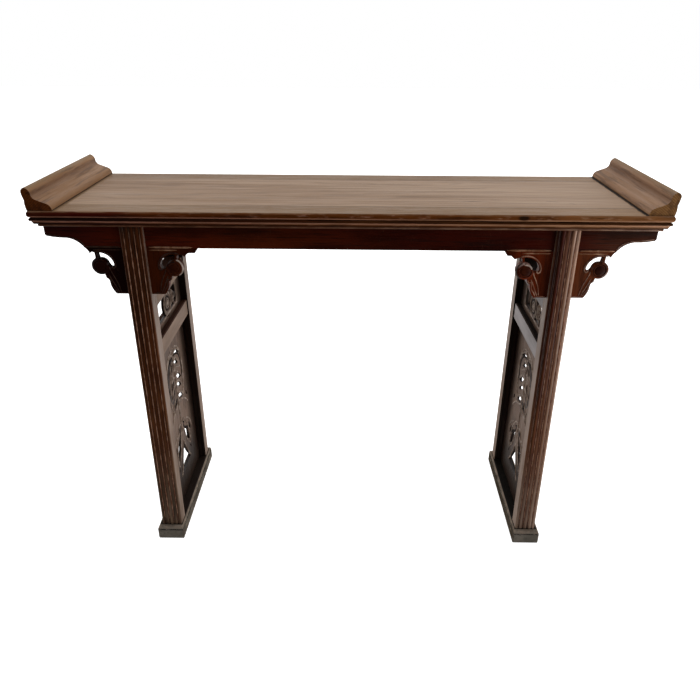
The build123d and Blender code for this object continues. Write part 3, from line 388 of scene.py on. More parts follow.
def flange_material(side):
    """Everted flange: warm worn wood, grain along Y, ringed end grain on its ends."""
    s = Surface(f"faded_flange_{side}")
    sign = SIDES[side]
    colour, relief, broad = faded_colour(s, "y", (3 * sign, 1, 0))
    # The right flange is tinted paler: painted light falling from the right side.
    tint = tone(134, 92, 52) if side == "left" else tone(146, 104, 70)
    colour = s.mix(0.55, colour, tint)
    colour = s.mix(s.ramp(broad, 0.6, 0.4, 0.0, 0.35), colour, tone(96, 66, 40))
    stain = s.noise((130, 7, 130), 4, 0.62, (1, 2, 3))
    colour = s.mix(s.ramp(stain, 0.50, 0.64, 0.0, 0.75), colour, tone(84, 58, 36))
    height = s.math("SUBTRACT", s.z, TOP)
    cove = s.near(height, 0.030, 0.003, 0.008)
    colour = s.mix(s.times(cove, 0.45), colour, tone(92, 66, 52))
    crest = s.ramp(height, 0.040, 0.046)
    colour = s.mix(s.times(crest, 0.75), colour, tone(112, 86, 56))
    outward = s.ramp(s.times(s.nx, sign), 0.5, 0.85)
    colour = s.mix(s.times(outward, 0.75), colour, tone(84, 50, 30))
    end = s.ramp(s.math("ABSOLUTE", s.ny), 0.7, 0.9)
    radius = s.distance((s.times(s.x, sign), FLANGE_HEART[0]), (s.z, FLANGE_HEART[1]))
    wobble = s.math("ADD", s.times(radius, 260), s.times(s.noise((40, 10, 40), 3, 0.6), 2.2))
    growth = s.ramp(s.math("SINE", s.times(wobble, 2 * math.pi)), -0.2, 0.9)
    # End grain paler on the right flange: painted light falling from the right side.
    face = tone(112, 58, 20) if side == "left" else tone(150, 108, 64)
    dark = tone(52, 22, 7) if side == "left" else tone(70, 42, 22)
    grained = s.mix(s.times(growth, 0.42), face, dark)
    grained = s.mix(s.ramp(s.noise((90, 20, 90), 3, 0.6), 0.45, 0.7, 0.0, 0.6), grained, dark)
    colour = s.mix(end, colour, grained)
    seat = s.times(s.ramp(height, 0.0030, 0.0008), s.math("SUBTRACT", 1.0, s.times(end, 0.7)))
    colour = s.mix(seat, colour, tone(16, 9, 6))
    normal, edge = s.rounded(0.0012)
    colour = s.mix(s.times(edge, 0.35), colour, tone(176, 146, 118))
    rough = s.ramp(relief, 0.6, 1.1, 0.42, 0.6)
    return s.finish(colour, rough, 0.09, s.bump(relief, 0.0005, normal))


def lacquer_colour(s, axis, red, shift=(0, 0, 0)):
    """Dark red-brown lacquer with soft bands and fine streaks along the grain."""
    broad = s.noise(grain(axis, 4, 18), 4, 0.6, shift)
    streak = s.noise(grain(axis, 9, 190), 4, 0.6, shift)
    dark = s.mix(0.62, red, tone(8, 2, 1))
    colour = s.mix(s.ramp(broad, 0.36, 0.62), dark, red)
    colour = s.mix(s.ramp(streak, 0.50, 0.72, 0.0, 0.7), colour, tone(22, 7, 4))
    return colour, broad, streak


# Reds along x, the lacquer's own changes with painted light and shade: the aprons paler at the right end,
# the spandrels darkest at the left and paler to the right, as the light falls from the right side.
APRON_REDS_AND_LIGHT = ((-0.60, tone(86, 26, 18)), (-0.47, tone(108, 34, 9)), (-0.20, tone(102, 38, 11)),
              (0.15, tone(74, 20, 7)), (0.46, tone(74, 20, 8)), (0.58, tone(88, 48, 34)))
SPANDREL_REDS_AND_LIGHT = ((-0.50, tone(40, 7, 5)), (-0.42, tone(84, 34, 9)), (0.40, tone(118, 44, 15)),
                 (0.50, tone(116, 60, 34)))

# Lit wall of a slit, along x and z: middle, reach and soft edge.
LIT_SLIT_X = (0.384, 0.026, 0.004)
LIT_SLIT_Z = (0.755, 0.014, 0.006)


def lit_slit(s):
    """Where the wall below the slit of the right inner wings catches the light."""
    return s.times(s.ramp(s.nz, 0.15, 0.6), s.near(s.x, *LIT_SLIT_X), s.near(s.z, *LIT_SLIT_Z))


def apron_material(name, axis, reds_and_light, specular, shift=(0, 0, 0), lit=None):
    s = Surface(name)
    red = s.stops(s.x, *reds_and_light)
    colour, _, streak = lacquer_colour(s, axis, red, shift)
    normal, edge = s.rounded(0.0012)
    rubbed = s.ramp(s.noise((30, 30, 30), 3, 0.6, shift), 0.42, 0.60)
    colour = s.mix(s.times(edge, rubbed, 0.5), colour, tone(120, 76, 54))
    scratch = s.noise((160, 60, 30), 2, 0.5, (4, 0, 2), 1.2)
    colour = s.mix(s.times(s.near(scratch, 0.5, 0.001, 0.004), s.ramp(rubbed, 0.8, 1.0, 0, 0.35)), colour,
                   tone(130, 92, 74))
    if lit is not None:
        colour = s.mix(s.times(lit(s), 0.8), colour, tone(206, 176, 166))
    rough = s.ramp(streak, 0.35, 0.7, 0.26, 0.42)
    return s.finish(colour, rough, specular, s.bump(streak, 0.0004, normal))


def strip_material():
    s = Surface("worn_strip")
    colour, _, streak = lacquer_colour(s, "x", tone(104, 56, 26))
    worn = s.noise((22, 90, 90), 4, 0.65, (2, 7, 2))
    rubbed = s.mix(s.ramp(s.x, -0.4, 0.4), tone(144, 94, 68), tone(152, 120, 100))
    # A light band along the strip's bead: painted highlight with rubbed wear.
    face = s.near(s.z, SLAB_UNDERSIDE - 0.0052, 0.0014, 0.0014)
    strength = s.ramp(worn, 0.38, 0.62, 0.4, 1.0)
    colour = s.mix(s.times(face, strength), colour, rubbed)
    return s.finish(colour, s.ramp(worn, 0.4, 0.6, 0.32, 0.45), 0.18, s.bump(streak, 0.0004))


# Colours across the right legs' faces, from inside outwards in half widths: painted shade on the inner part,
# painted highlight with bleaching on the outer part.
RIGHT_LEG_WEAR_AND_LIGHT = (
    (-1.0, tone(50, 16, 8)), (-0.75, tone(38, 8, 3)), (-0.34, tone(80, 30, 14)), (-0.06, tone(128, 86, 66)),
    (0.18, tone(68, 26, 11)), (0.42, tone(178, 136, 112)), (0.58, tone(236, 204, 184)),
    (0.86, tone(214, 176, 154)), (1.0, tone(126, 90, 70)),
)


def leg_material(end):
    """Moulded leg: red-brown above, weathered and greyer near the foot, almost black behind where the back
    legs' front faces carry painted shade; paler on the right legs with painted light, with a painted sheen
    on the inner sides.
    """
    s = Surface(f"moulded_leg_{end}")
    colour, broad, streak = lacquer_colour(s, "z", tone(106, 54, 22))
    rise = s.ramp(s.z, 0.12, 0.66)
    brown = s.mix(s.ramp(broad, 0.4, 0.62), tone(100, 54, 26), tone(146, 94, 56))
    grey = s.mix(s.ramp(broad, 0.4, 0.62), tone(92, 68, 50), tone(140, 114, 92))
    # The right legs are paler: painted light falling from the right side.
    right = s.ramp(s.x, -0.1, 0.1)
    brown = s.mix(s.times(right, 0.5), brown, tone(160, 106, 68))
    grey = s.mix(s.times(right, 0.6), grey, tone(176, 150, 132))
    low = s.mix(s.ramp(s.z, 0.10, 0.34), grey, brown)
    low = s.mix(s.ramp(streak, 0.50, 0.70, 0.0, 0.7), low, tone(30, 20, 14))
    colour = s.mix(rise, low, colour)
    front = s.ramp(s.math("ABSOLUTE", s.ny), 0.5, 0.75)
    middle = s.math("ADD", LEG_TOP_X, s.times(s.math("SUBTRACT", SLAB_UNDERSIDE, s.z), LEG_LEAN))
    across = s.math("DIVIDE", s.math("SUBTRACT", s.math("ABSOLUTE", s.x), middle), LEG_HALF_WIDTH)
    rub = s.noise((60, 60, 7), 4, 0.62, (0, 3, 0))
    rubbed = s.mix(s.ramp(s.z, 0.3, 0.8), tone(140, 116, 98), tone(150, 104, 80))
    # Painted shade along both sides of each thin bead.
    for place in BEADS_ACROSS:
        groove_shade = s.times(s.near(across, place, 0.05, 0.05), front)
        colour = s.mix(s.times(groove_shade, 0.8), colour, tone(26, 11, 6))
    # Across the right legs' faces, strongest above: painted shade inside, painted highlight with bleaching
    # outside.
    sway = s.times(s.math("SUBTRACT", s.noise((9, 9, 5), 2, 0.5, (6, 2, 0)), 0.5), 0.25)
    worn = s.stops(s.math("ADD", across, sway), *RIGHT_LEG_WEAR_AND_LIGHT)
    broken = s.ramp(s.noise((200, 60, 3), 3, 0.6, (2, 0, 5)), 0.34, 0.56, 0.6, 1.0)
    broken = s.math("MAXIMUM", broken, s.ramp(s.z, 0.56, 0.72))
    colour = s.mix(s.times(right, front, s.ramp(s.z, 0.05, 0.74, 0.34, 0.95), broken), colour, worn)
    arris = s.times(s.near(s.math("ABSOLUTE", across), 1.0, 0.04, 0.05), front)
    colour = s.mix(s.times(arris, s.ramp(rub, 0.42, 0.60, 0.25, 0.9)), colour, rubbed)
    # Painted sheen: the inner side faces of the legs are pale, as a grazing reflection.
    inside = s.times(s.ramp(across, -0.96, -0.985), s.ramp(s.math("ABSOLUTE", s.ny), 0.4, 0.2))
    painted_sheen = s.mix(s.ramp(broad, 0.4, 0.62), tone(128, 106, 90), tone(158, 138, 124))
    colour = s.mix(s.times(inside, 0.85), colour, painted_sheen)
    if end == "back":
        unlit = s.times(s.ramp(s.ny, -0.4, -0.7), 0.9)
        colour = s.mix(unlit, colour, tone(16, 8, 5))
    edge_normal, edge = s.rounded(0.0010)
    colour = s.mix(s.times(edge, s.ramp(rub, 0.45, 0.6, 0.1, 0.5)), colour, tone(140, 108, 88))
    rough = s.math("ADD", s.ramp(s.z, 0.1, 0.7, 0.18, 0.0), s.ramp(rub, 0.4, 0.65, 0.26, 0.38))
    return s.finish(colour, rough, 0.22, s.bump(s.math("ADD", streak, rub), 0.0005, edge_normal))


# Dark rounds on a lower panel's inner face, where its carving is deep: middle's y and z, radius.
SHADED_ROUNDS = ((0.0, 0.378, 0.059), (-0.017, 0.232, 0.002))
RECESS_SHADE_Y = 0.064                        # middle of the upper panel's dark recess beside its ring


def panel_material():
    """Brown panel, dull lacquer with pale dust on what stands proud, with painted shade in its crevices,
    openings and recess and towards the rear and the bottom.
    """
    s = Surface("carved_panel")
    colour, broad, streak = lacquer_colour(s, "z", tone(104, 78, 62))
    colour = s.mix(s.ramp(broad, 0.3, 0.7, 0.45, 0.9), colour, tone(126, 102, 86))
    smudge = s.noise((30, 24, 18), 4, 0.6, (5, 5, 1))
    colour = s.mix(s.ramp(smudge, 0.5, 0.68, 0.0, 0.5), colour, tone(58, 38, 28))
    # Painted shade and reflection: darker towards the rear leg and towards the bottom.
    rear_shade = s.ramp(s.y, 0.060, 0.112, 0.0, 0.88)
    low = s.ramp(s.z, 0.22, 0.10, 0.0, 0.92)
    colour = s.mix(s.math("MAXIMUM", rear_shade, low), colour, tone(30, 19, 13))
    normal, edge = s.rounded(0.0010)
    colour = s.mix(s.times(edge, 0.4), colour, tone(170, 150, 136))
    # Painted shade in the crevices of the carving.
    colour = s.mix(s.times(s.hollow_shade(0.012), 0.85), colour, tone(24, 14, 10))
    inward = s.ramp(s.times(s.nx, s.math("SIGN", s.x)), 0.1, -0.1)
    for middle_y, middle_z, radius in SHADED_ROUNDS:
        away = s.distance((s.y, middle_y), (s.z, middle_z))
        shadow = s.times(s.near(away, radius, 0.0045, 0.0065), s.ramp(s.y, 0.02, -0.01), inward)
        colour = s.mix(s.times(shadow, 0.8), colour, tone(26, 14, 9))
    # Painted shade in the recess beside the ring.
    recess_shade = s.times(s.near(s.y, RECESS_SHADE_Y, 0.013, 0.007), s.near(s.z, RING_HEIGHT, 0.014, 0.006), inward)
    colour = s.mix(s.times(recess_shade, s.ramp(s.x, -0.1, 0.1, 0.85, 0.45)), colour, tone(30, 16, 11))
    # Painted shade on the walls of the openings.
    reveal_shade = s.ramp(s.math("ABSOLUTE", s.nx), 0.75, 0.45)
    colour = s.mix(s.times(reveal_shade, 0.92), colour, tone(20, 10, 7))
    return s.finish(colour, s.ramp(streak, 0.35, 0.7, 0.32, 0.48), 0.14, s.bump(streak, 0.0005, normal))


def side_rail_material():
    s = Surface("side_rail")
    colour, broad, streak = lacquer_colour(s, "y", tone(104, 80, 66))
    upward = s.ramp(s.nz, 0.3, 0.8)
    # Painted sheen: faces turned inwards are pale, greyer on the right, as a grazing reflection.
    inward = s.ramp(s.times(s.nx, s.math("SIGN", s.x)), 0.0, -0.6, 0.3, 1.0)
    painted_sheen = s.times(s.ramp(broad, 0.35, 0.65, 0.6, 0.95), s.math("SUBTRACT", 1.0, upward), inward)
    colour = s.mix(painted_sheen, colour,
                   s.mix(s.ramp(s.x, -0.2, 0.2), tone(162, 137, 119), tone(186, 181, 182)))
    colour = s.mix(upward, colour, s.mix(s.ramp(s.x, -0.2, 0.2), tone(62, 34, 20), tone(26, 15, 10)))
    normal, edge = s.rounded(0.0012)
    colour = s.mix(s.times(edge, 0.35), colour, tone(150, 124, 108))
    rough = s.math("ADD", s.ramp(streak, 0.35, 0.7, 0.42, 0.55), s.times(upward, 0.3))
    return s.finish(colour, rough, 0.1, s.bump(streak, 0.0004, normal))


def foot_material():
    """Foot block: weathered grey-brown, dark above, scuffed along its lower edges."""
    s = Surface("worn_foot")
    broad = s.noise((16, 8, 26), 4, 0.6)
    streak = s.noise(grain("y", 12, 170), 4, 0.62)
    scuff = s.noise((45, 45, 60), 4, 0.65, (1, 1, 1))
    colour = s.mix(s.ramp(broad, 0.36, 0.64), tone(82, 74, 64), tone(130, 121, 110))
    colour = s.mix(s.ramp(streak, 0.50, 0.70, 0.0, 0.7), colour, tone(36, 28, 22))
    upward = s.times(s.ramp(s.nz, 0.8, 0.95), s.ramp(s.z, FOOT_TOP - 0.0022, FOOT_TOP - 0.0006))
    colour = s.mix(s.times(s.ramp(s.ny, -0.6, -0.9), 0.35), colour, tone(152, 148, 138))
    facing_in = s.ramp(s.times(s.nx, s.math("SIGN", s.x)), -0.6, -0.9)
    colour = s.mix(s.times(facing_in, s.ramp(s.x, -0.1, 0.1, 0.25, 0.8)), colour, tone(60, 47, 30))
    shoulder = s.near(s.z, FOOT_TOP - 0.0035, 0.0022, 0.0020)
    colour = s.mix(s.times(shoulder, s.ramp(scuff, 0.4, 0.6, 0.3, 0.9)), colour, tone(140, 124, 110))
    quirk = s.near(s.z, FOOT_TOP - 0.0078, 0.0008, 0.0010)
    colour = s.mix(quirk, colour, tone(10, 7, 5))
    normal, edge = s.rounded(0.0020)
    colour = s.mix(s.times(edge, s.ramp(scuff, 0.4, 0.6, 0.2, 0.8)), colour, tone(172, 162, 150))
    # Darker along the bottom, next to the floor.
    darker_at_bottom = s.ramp(s.z, 0.0035, 0.0005)
    colour = s.mix(s.times(darker_at_bottom, 0.8), colour, tone(26, 20, 16))
    between = s.ramp(s.math("ABSOLUTE", s.y), LEG_FOOT_FACE + 0.004, LEG_FOOT_FACE - 0.002)
    joint = s.times(upward, s.near(s.math("ABSOLUTE", s.y), LEG_FOOT_FACE + 0.001, 0.0016, 0.0012))
    colour = s.mix(s.times(joint, 0.85), colour, tone(24, 16, 11))
    black = s.mix(s.ramp(s.x, -0.1, 0.1), tone(24, 14, 9), tone(5, 3, 2))
    colour = s.mix(s.times(upward, between, 0.96), colour, black)
    return s.finish(colour, s.ramp(scuff, 0.4, 0.6, 0.55, 0.75), 0.04,
                    s.bump(s.math("ADD", streak, scuff), 0.0008, normal))


def bare_material(name, axis, colour_low, colour_high):
    """Unfinished wood of pieces out of sight."""
    s = Surface(name)
    broad = s.noise(grain(axis, 4, 30), 4, 0.6)
    streak = s.noise(grain(axis, 10, 300), 3, 0.6)
    colour = s.mix(s.ramp(broad, 0.35, 0.65), colour_low, colour_high)
    colour = s.mix(s.ramp(streak, 0.5, 0.7, 0.0, 0.5), colour, colour_low)
    return s.finish(colour, s.ramp(streak, 0.3, 0.7, 0.6, 0.75), 0.3, s.bump(streak, 0.0006))


def carving_material(name, body, rubbed, specular, darkened=None):
    """Carved beads: lacquer, rubbed through in patches. The last argument gives where it is darkened, mostly
    with painted shade.
    """
    s = Surface(name)
    wear = s.noise((70, 70, 70), 4, 0.6)
    streak = s.noise((160, 160, 40), 3, 0.6)
    colour = s.mix(s.ramp(wear, 0.40, 0.62, 0.1, 0.85), body, rubbed)
    if darkened is not None:
        colour = s.mix(darkened(s), colour, tone(38, 11, 6))
    return s.finish(colour, s.ramp(streak, 0.35, 0.65, 0.34, 0.5), specular, s.bump(streak, 0.0003))


def put(material, *names):
    for name in names:
        slots = nodes[name].data.materials
        slots.clear()
        slots.append(material)


def dress_nodes():
    put(board_material(), "front_top_board", "back_top_board")
    put(rail_material("top_rail", "x", (4, 0, 0)), "front_top_rail", "back_top_rail")
    put(rail_material("top_end_rail", "y", (0, 5, 0)), "left_top_end_rail", "right_top_end_rail")
    put(strip_material(), "front_edge_strip", "back_edge_strip")
    put(apron_material("apron", "x", APRON_REDS_AND_LIGHT, 0.12), "front_apron", "back_apron")
    put(apron_material("end_apron", "y", APRON_REDS_AND_LIGHT, 0.12, (4, 2, 3)), "left_end_apron", "right_end_apron")
    upright = apron_material("spandrel", "z", SPANDREL_REDS_AND_LIGHT, 0.07, (1, 2, 3), lit_slit)
    panel, rail, foot = panel_material(), side_rail_material(), foot_material()
    legs = {end: leg_material(end) for end in ENDS}
    for side in SIDES:
        put(flange_material(side), f"{side}_flange")
        put(rail, f"{side}_upper_rail", f"{side}_middle_rail")
        put(panel, f"{side}_upper_panel", f"{side}_lower_panel")
        put(foot, f"{side}_foot_block")
        for end in ENDS:
            put(legs[end], f"{side}_{end}_leg")
            put(upright, f"{side}_{end}_spandrel")
    battens = [name for name in nodes if name.endswith("batten")]
    put(bare_material("bare_batten", "y", tone(70, 48, 34), tone(120, 92, 70)), *battens)
    put(bare_material("peg_wood", "x", tone(120, 104, 84), tone(160, 146, 124)), "foot_pegs")


# Carving -------------------------------------------------------------------------------------
SECTION_STEPS = 6
MM = 0.001


def smooth_path(points, steps=6):
    """Points of a soft curve through the given ones."""
    ends = [points[0]] + list(points) + [points[-1]]
    path = []
    for a, b, c, d in zip(ends, ends[1:], ends[2:], ends[3:]):
        for n in range(steps):
            t = n / steps
            path.append(tuple(
                0.5 * (2 * q + (r - p) * t + (2 * p - 5 * q + 4 * r - e) * t ** 2
                       + (3 * q - p - 3 * r + e) * t ** 3)
                for p, q, r, e in zip(a, b, c, d)))
    return path + [points[-1]]


def arc(centre, radius, first, last, steps=20):
    turns = [math.radians(first + (last - first) * n / steps) for n in range(steps + 1)]
    return [(centre[0] + radius * math.cos(t), centre[1] + radius * math.sin(t)) for t in turns]


class Carving:
    """Raised work on one flat face: local (u, v) in millimetres, proud of the face by w."""

    def __init__(self, place):
        self.place = place
        self.verts = []
        self.faces = []
        self.shades = []
        self.shade = 0

    def bead(self, path, width, height, closed=False, sunk=0.1):
        """Half-round bead along a path, fading out at open ends, rooted below the face."""
        count = len(path)
        first = len(self.verts)
        for n, (u, v) in enumerate(path):
            before = path[n - 1] if closed or n else path[n]
            after = path[(n + 1) % count] if closed or n < count - 1 else path[n]
            du, dv = after[0] - before[0], after[1] - before[1]
            size = math.hypot(du, dv) or 1.0
            side_u, side_v = -dv / size, du / size
            reach = 1.0 if closed else min(1.0, 0.25 + 0.4 * min(n, count - 1 - n))
            for k in range(SECTION_STEPS + 1):
                turn = math.pi * k / SECTION_STEPS
                across = width / 2 * reach * math.cos(turn)
                proud = (height + sunk) * reach * math.sin(turn) - sunk
                self.verts.append(self.place(u + across * side_u, v + across * side_v, proud))
        ring = SECTION_STEPS + 1
        for n in range(count if closed else count - 1):
            a, b = first + n * ring, first + (n + 1) % count * ring
            for k in range(ring):
                m = (k + 1) % ring
                self.faces.append((a + k, a + m, b + m, b + k))
        if not closed:
            self.faces.append(tuple(range(first, first + ring)))
            last = first + (count - 1) * ring
            self.faces.append(tuple(range(last + ring - 1, last - 1, -1)))
        self.shades += [self.shade] * (len(self.faces) - len(self.shades))

    def dome(self, centre, profile, steps=40):
        """Turned boss from (radius, height) pairs, outermost first, closed at its middle."""
        first = len(self.verts)
        for radius, height in profile:
            for n in range(steps):
                turn = 2 * math.pi * n / steps
                spot = centre[0] + radius * math.cos(turn), centre[1] + radius * math.sin(turn)
                self.verts.append(self.place(*spot, height))
        for r in range(len(profile) - 1):
            a = first + r * steps
            for n in range(steps):
                m = (n + 1) % steps
                self.faces.append((a + n, a + m, a + steps + m, a + steps + n))
        self.faces.append(tuple(range(first, first + steps)))
        top = first + (len(profile) - 1) * steps
        self.faces.append(tuple(range(top + steps - 1, top - 1, -1)))
        self.shades += [self.shade] * (len(self.faces) - len(self.shades))

    def finish(self, name, materials, slot):
        mesh = bpy.data.meshes.new(name)
        mesh.from_pydata(self.verts, [], self.faces)
        shell = bmesh.new()
        shell.from_mesh(mesh)
        bmesh.ops.recalc_face_normals(shell, faces=shell.faces)
        shell.to_mesh(mesh)
        shell.free()
        for face, shade in zip(mesh.polygons, self.shades):
            face.use_smooth = len(face.vertices) == 4
            face.material_index = shade
        for material in materials:
            mesh.materials.append(material)
        piece = bpy.data.objects.new(name, mesh)
        bpy.context.scene.collection.objects.link(piece)
        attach(piece, "root")
        return piece


# Wings of the spandrels: u outwards from the leg's middle, v up from the apron's lower edge.
BALL_U = 79.0
BALL_V = {"outer": -41.0, "inner": -44.0}
BALL_PROUD = 3.0
# Middles of the pale rims of painted highlight on the inner balls, on the far side and beside the slit.
BALL_EDGE = 18.6          # middle of the rim on a ball's far side
SLIT_EDGE = 13.9          # middle of the rim beside the slit
SLIT_FAR = 30.0
RIM_GAP = 3.4
WING_FOOT = (SPANDREL_FOOT - APRON_FOOT) / MM


def wing_paths(kind):
    """Beads of one wing, as (path, width, height), the brow's first."""
    ball = (BALL_U, BALL_V[kind])
    leg_edge = 29.0
    tip_u = 104.0 if kind == "outer" else 124.0
    brow = [(leg_edge + (tip_u - leg_edge) * n / 12, 1.8) for n in range(13)]
    brow_low = [(leg_edge + (90.0 - leg_edge) * n / 12, -4.6) for n in range(13)]
    rim = arc(ball, SLIT_FAR + RIM_GAP, 64, 172)
    curl = smooth_path([rim[-1], (47.0, ball[1] - 1.5), (51.5, ball[1] - 5.0), (54.5, ball[1] - 1.0)])
    hook = smooth_path([(61.0, ball[1] - 3.0), (59.0, ball[1] - 10), (53.5, -65.0), (49.0, -76.0),
                        (45.5, -88.0), (43.5, -100.5)])
    stem = smooth_path([(64.5, ball[1] - 19), (60.0, -72.0), (56.5, -80.0), (51.5, -91.0), (47.0, -101.5)])
    outline = smooth_path([(70.5, ball[1] - 21), (68.5, ball[1] - 27), (63.0, -71.0), (61.5, -80.0),
                           (60.5, -86.0), (55.5, -93.0), (51.0, -102.0)])
    sill = [(51.0 - 22.0 * n / 6, WING_FOOT + 2.4) for n in range(7)]
    return [
        (brow, 4.2, 1.8),
        (brow_low, 3.0, 1.1),
        (rim + curl[1:], 2.8, 1.4),
        (hook, 2.2, 1.1),
        (stem, 2.2, 1.1),
        (outline, 2.0, 0.9),
        (sill, 2.4, 0.9),
    ]


BROW_BEADS = 2
BALL_RING = 13.6
BALL_PROFILE = ((11.2, -0.1), (11.0, 0.5), (9.6, 1.0), (7.0, 1.5), (3.6, 1.8), (0.6, 1.9))
FRONT, BALL, LIT_RIM, BROW = range(4)       # places of a spandrel's materials


def carve_spandrel(side, end, materials):
    """Beads of both wings of one spandrel, and the rings and domes of its balls."""
    sign, way = SIDES[side], ENDS[end]
    carving = Carving(None)
    for kind, out in (("outer", 1), ("inner", -1)):
        def place(u, v, w, out=out):
            return (sign * (LEG_TOP_X + out * u * MM), way * (APRON_FACE + w * MM), APRON_FOOT + v * MM)

        def place_ball(u, v, w, out=out):
            return (sign * (LEG_TOP_X + out * u * MM), way * (APRON_FACE + (BALL_PROUD + w) * MM),
                    APRON_FOOT + v * MM)
        carving.place = place
        for number, (path, width, height) in enumerate(wing_paths(kind)):
            carving.shade = BROW if number < BROW_BEADS else FRONT
            carving.bead(path, width, height)
        carving.place = place_ball
        ball = (BALL_U, BALL_V[kind])
        carving.shade = BALL
        carving.bead(arc(ball, BALL_RING, 0, 351, 39), 2.2, 0.8, closed=True)
        carving.dome(ball, BALL_PROFILE)
        if kind == "inner":
            # Pale rims of painted highlight on the inner balls.
            carving.shade = LIT_RIM
            carving.bead(arc(ball, SLIT_EDGE, 70, 162), 3.2, 1.4)
            carving.place = place
            carving.bead(arc(ball, BALL_EDGE, -70, 78), 4.2, 1.5, sunk=1.0)
    carving.finish(f"carving_{side}_{end}_spandrel", materials, "dark_lacquer")


def carve_leg(side, end, material):
    """Thin raised beads between the flats of a leg's outer face."""
    sign, way = SIDES[side], ENDS[end]
    low, high = FOOT_TOP, SLAB_UNDERSIDE

    def place(u, v, w):
        drop = (high - v * MM) / (high - low)
        return (sign * (LEG_TOP_X + LEG_SPLAY * drop + u * MM),
                way * (LEG_TOP_FACE + LEG_RAKE * drop + w * MM), v * MM)
    carving = Carving(place)
    bottom, top = low / MM + 0.6, high / MM - 8.6
    for across in BEADS_ACROSS:
        path = [(across * LEG_HALF_WIDTH / MM, bottom + (top - bottom) * n / 30) for n in range(31)]
        carving.bead(path, 2.0, 0.8, sunk=2.0)
    carving.finish(f"carving_{side}_{end}_leg", [material], "dark_lacquer")


# Swept lower edge of a long apron's end: u outwards from the leg's middle, v up from the lower edge.
APRON_SWEEP = ((106.0, 3.0), (112.0, 12.0), (121.0, 18.6), (134.0, 22.6), (142.0, 23.4), (162.0, 25.6),
               (182.0, 28.0))


def carve_apron_end(side, end, material):
    """Bead along the swept lower edge of one end of a long apron."""
    sign, way = SIDES[side], ENDS[end]
    carving = Carving(lambda u, v, w: (sign * (LEG_TOP_X + u * MM), way * (APRON_FACE + w * MM),
                                       APRON_FOOT + v * MM))
    carving.bead(smooth_path(APRON_SWEEP), 2.8, 1.1)
    carving.finish(f"carving_{side}_{end}_apron", [material], "dark_lacquer")


# Lower panel: u towards the back, v the height above the floor, both in millimetres.
FIELD_EDGE = ((40, 300), (58, 326), (67, 360), (69, 400), (60, 434), (36, 458), (0, 464))
SHOULDER = ((2, 316), (22, 300), (42, 296), (66, 280), (82, 262))
VEINS = (
    ((4, 448), (20, 456), (40, 448), (60, 432)),
    ((3, 428), (16, 434), (30, 422), (42, 408)),
    ((4, 384), (18, 390), (38, 378), (56, 358)),
    ((4, 362), (14, 366), (34, 354), (48, 336)),
    ((4, 326), (16, 330), (36, 320), (56, 298)),
    ((4, 404), (16, 408), (34, 398), (52, 392)),
    ((70, 410), (73, 390), (72, 365), (66, 342)),
)
SPROUT = ((6, 240), (20, 246), (36, 232), (52, 206), (62, 176), (64, 150), (56, 138))
SPROUT_INNER = ((8, 218), (16, 214), (24, 190), (36, 164), (50, 146))
SPROUT_OUTER = ((46, 228), (64, 220), (80, 200), (84, 176))
ARCH_RIM = ((53, 101), (38, 116), (24, 142), (12, 164), (0, 189))
STEM = (200, 460)                       # from one height to the other, on the middle line
PROUD, PAINTED_SHADE = range(2)                # places of a panel's materials
# Dark beads of painted shade on a lower panel, where its openings and hollows lie in shade.
SHADE_PATHS = (
    ((60, 352), (63, 385), (57, 415), (42, 434), (15, 443), (4, 442)),
    ((16, 236), (22, 214), (44, 202), (62, 184)),
    ((38, 306), (22, 311), (8, 309)),
)


def carve_lower_panel(side, materials):
    """Field, veins, sprouts and arch rim of a lower panel, alike on both sides of its middle stem."""
    sign = SIDES[side]
    face = LOWER_PANEL_BOX[0][0]
    carving = Carving(None)
    for flip in (1, -1):
        carving.place = lambda u, v, w, flip=flip: (sign * (face - w * MM), flip * u * MM, v * MM)
        carving.bead(smooth_path(FIELD_EDGE), 5.0, 1.6)
        carving.bead(smooth_path(SHOULDER), 5.0, 1.8)
        for vein in VEINS:
            carving.bead(smooth_path(vein), 4.4, 1.8)
        for path in (SPROUT, SPROUT_INNER, SPROUT_OUTER, ARCH_RIM):
            carving.bead(smooth_path(path), 4.4, 1.7)
        # Dark beads of painted shade.
        carving.shade = PAINTED_SHADE
        for path in SHADE_PATHS:
            carving.bead(smooth_path(path), 6.5, 0.5)
        carving.shade = PROUD
    low, high = STEM
    carving.bead([(0, low + (high - low) * n / 20) for n in range(21)], 6.0, 2.0)
    carving.finish(f"carving_{side}_lower_panel", materials, "dark_lacquer")


# Upper panel: u towards the curl's side from the ring's middle, v as above.
RING_SPOT = (0.0, RING_HEIGHT / MM)
RING_DOME = ((7.5, -0.1), (7.2, 0.8), (5.5, 1.6), (3.0, 2.1), (0.6, 2.2))
FRAME_HALF = (79.0, 28.0)
CURL_U = 57.0


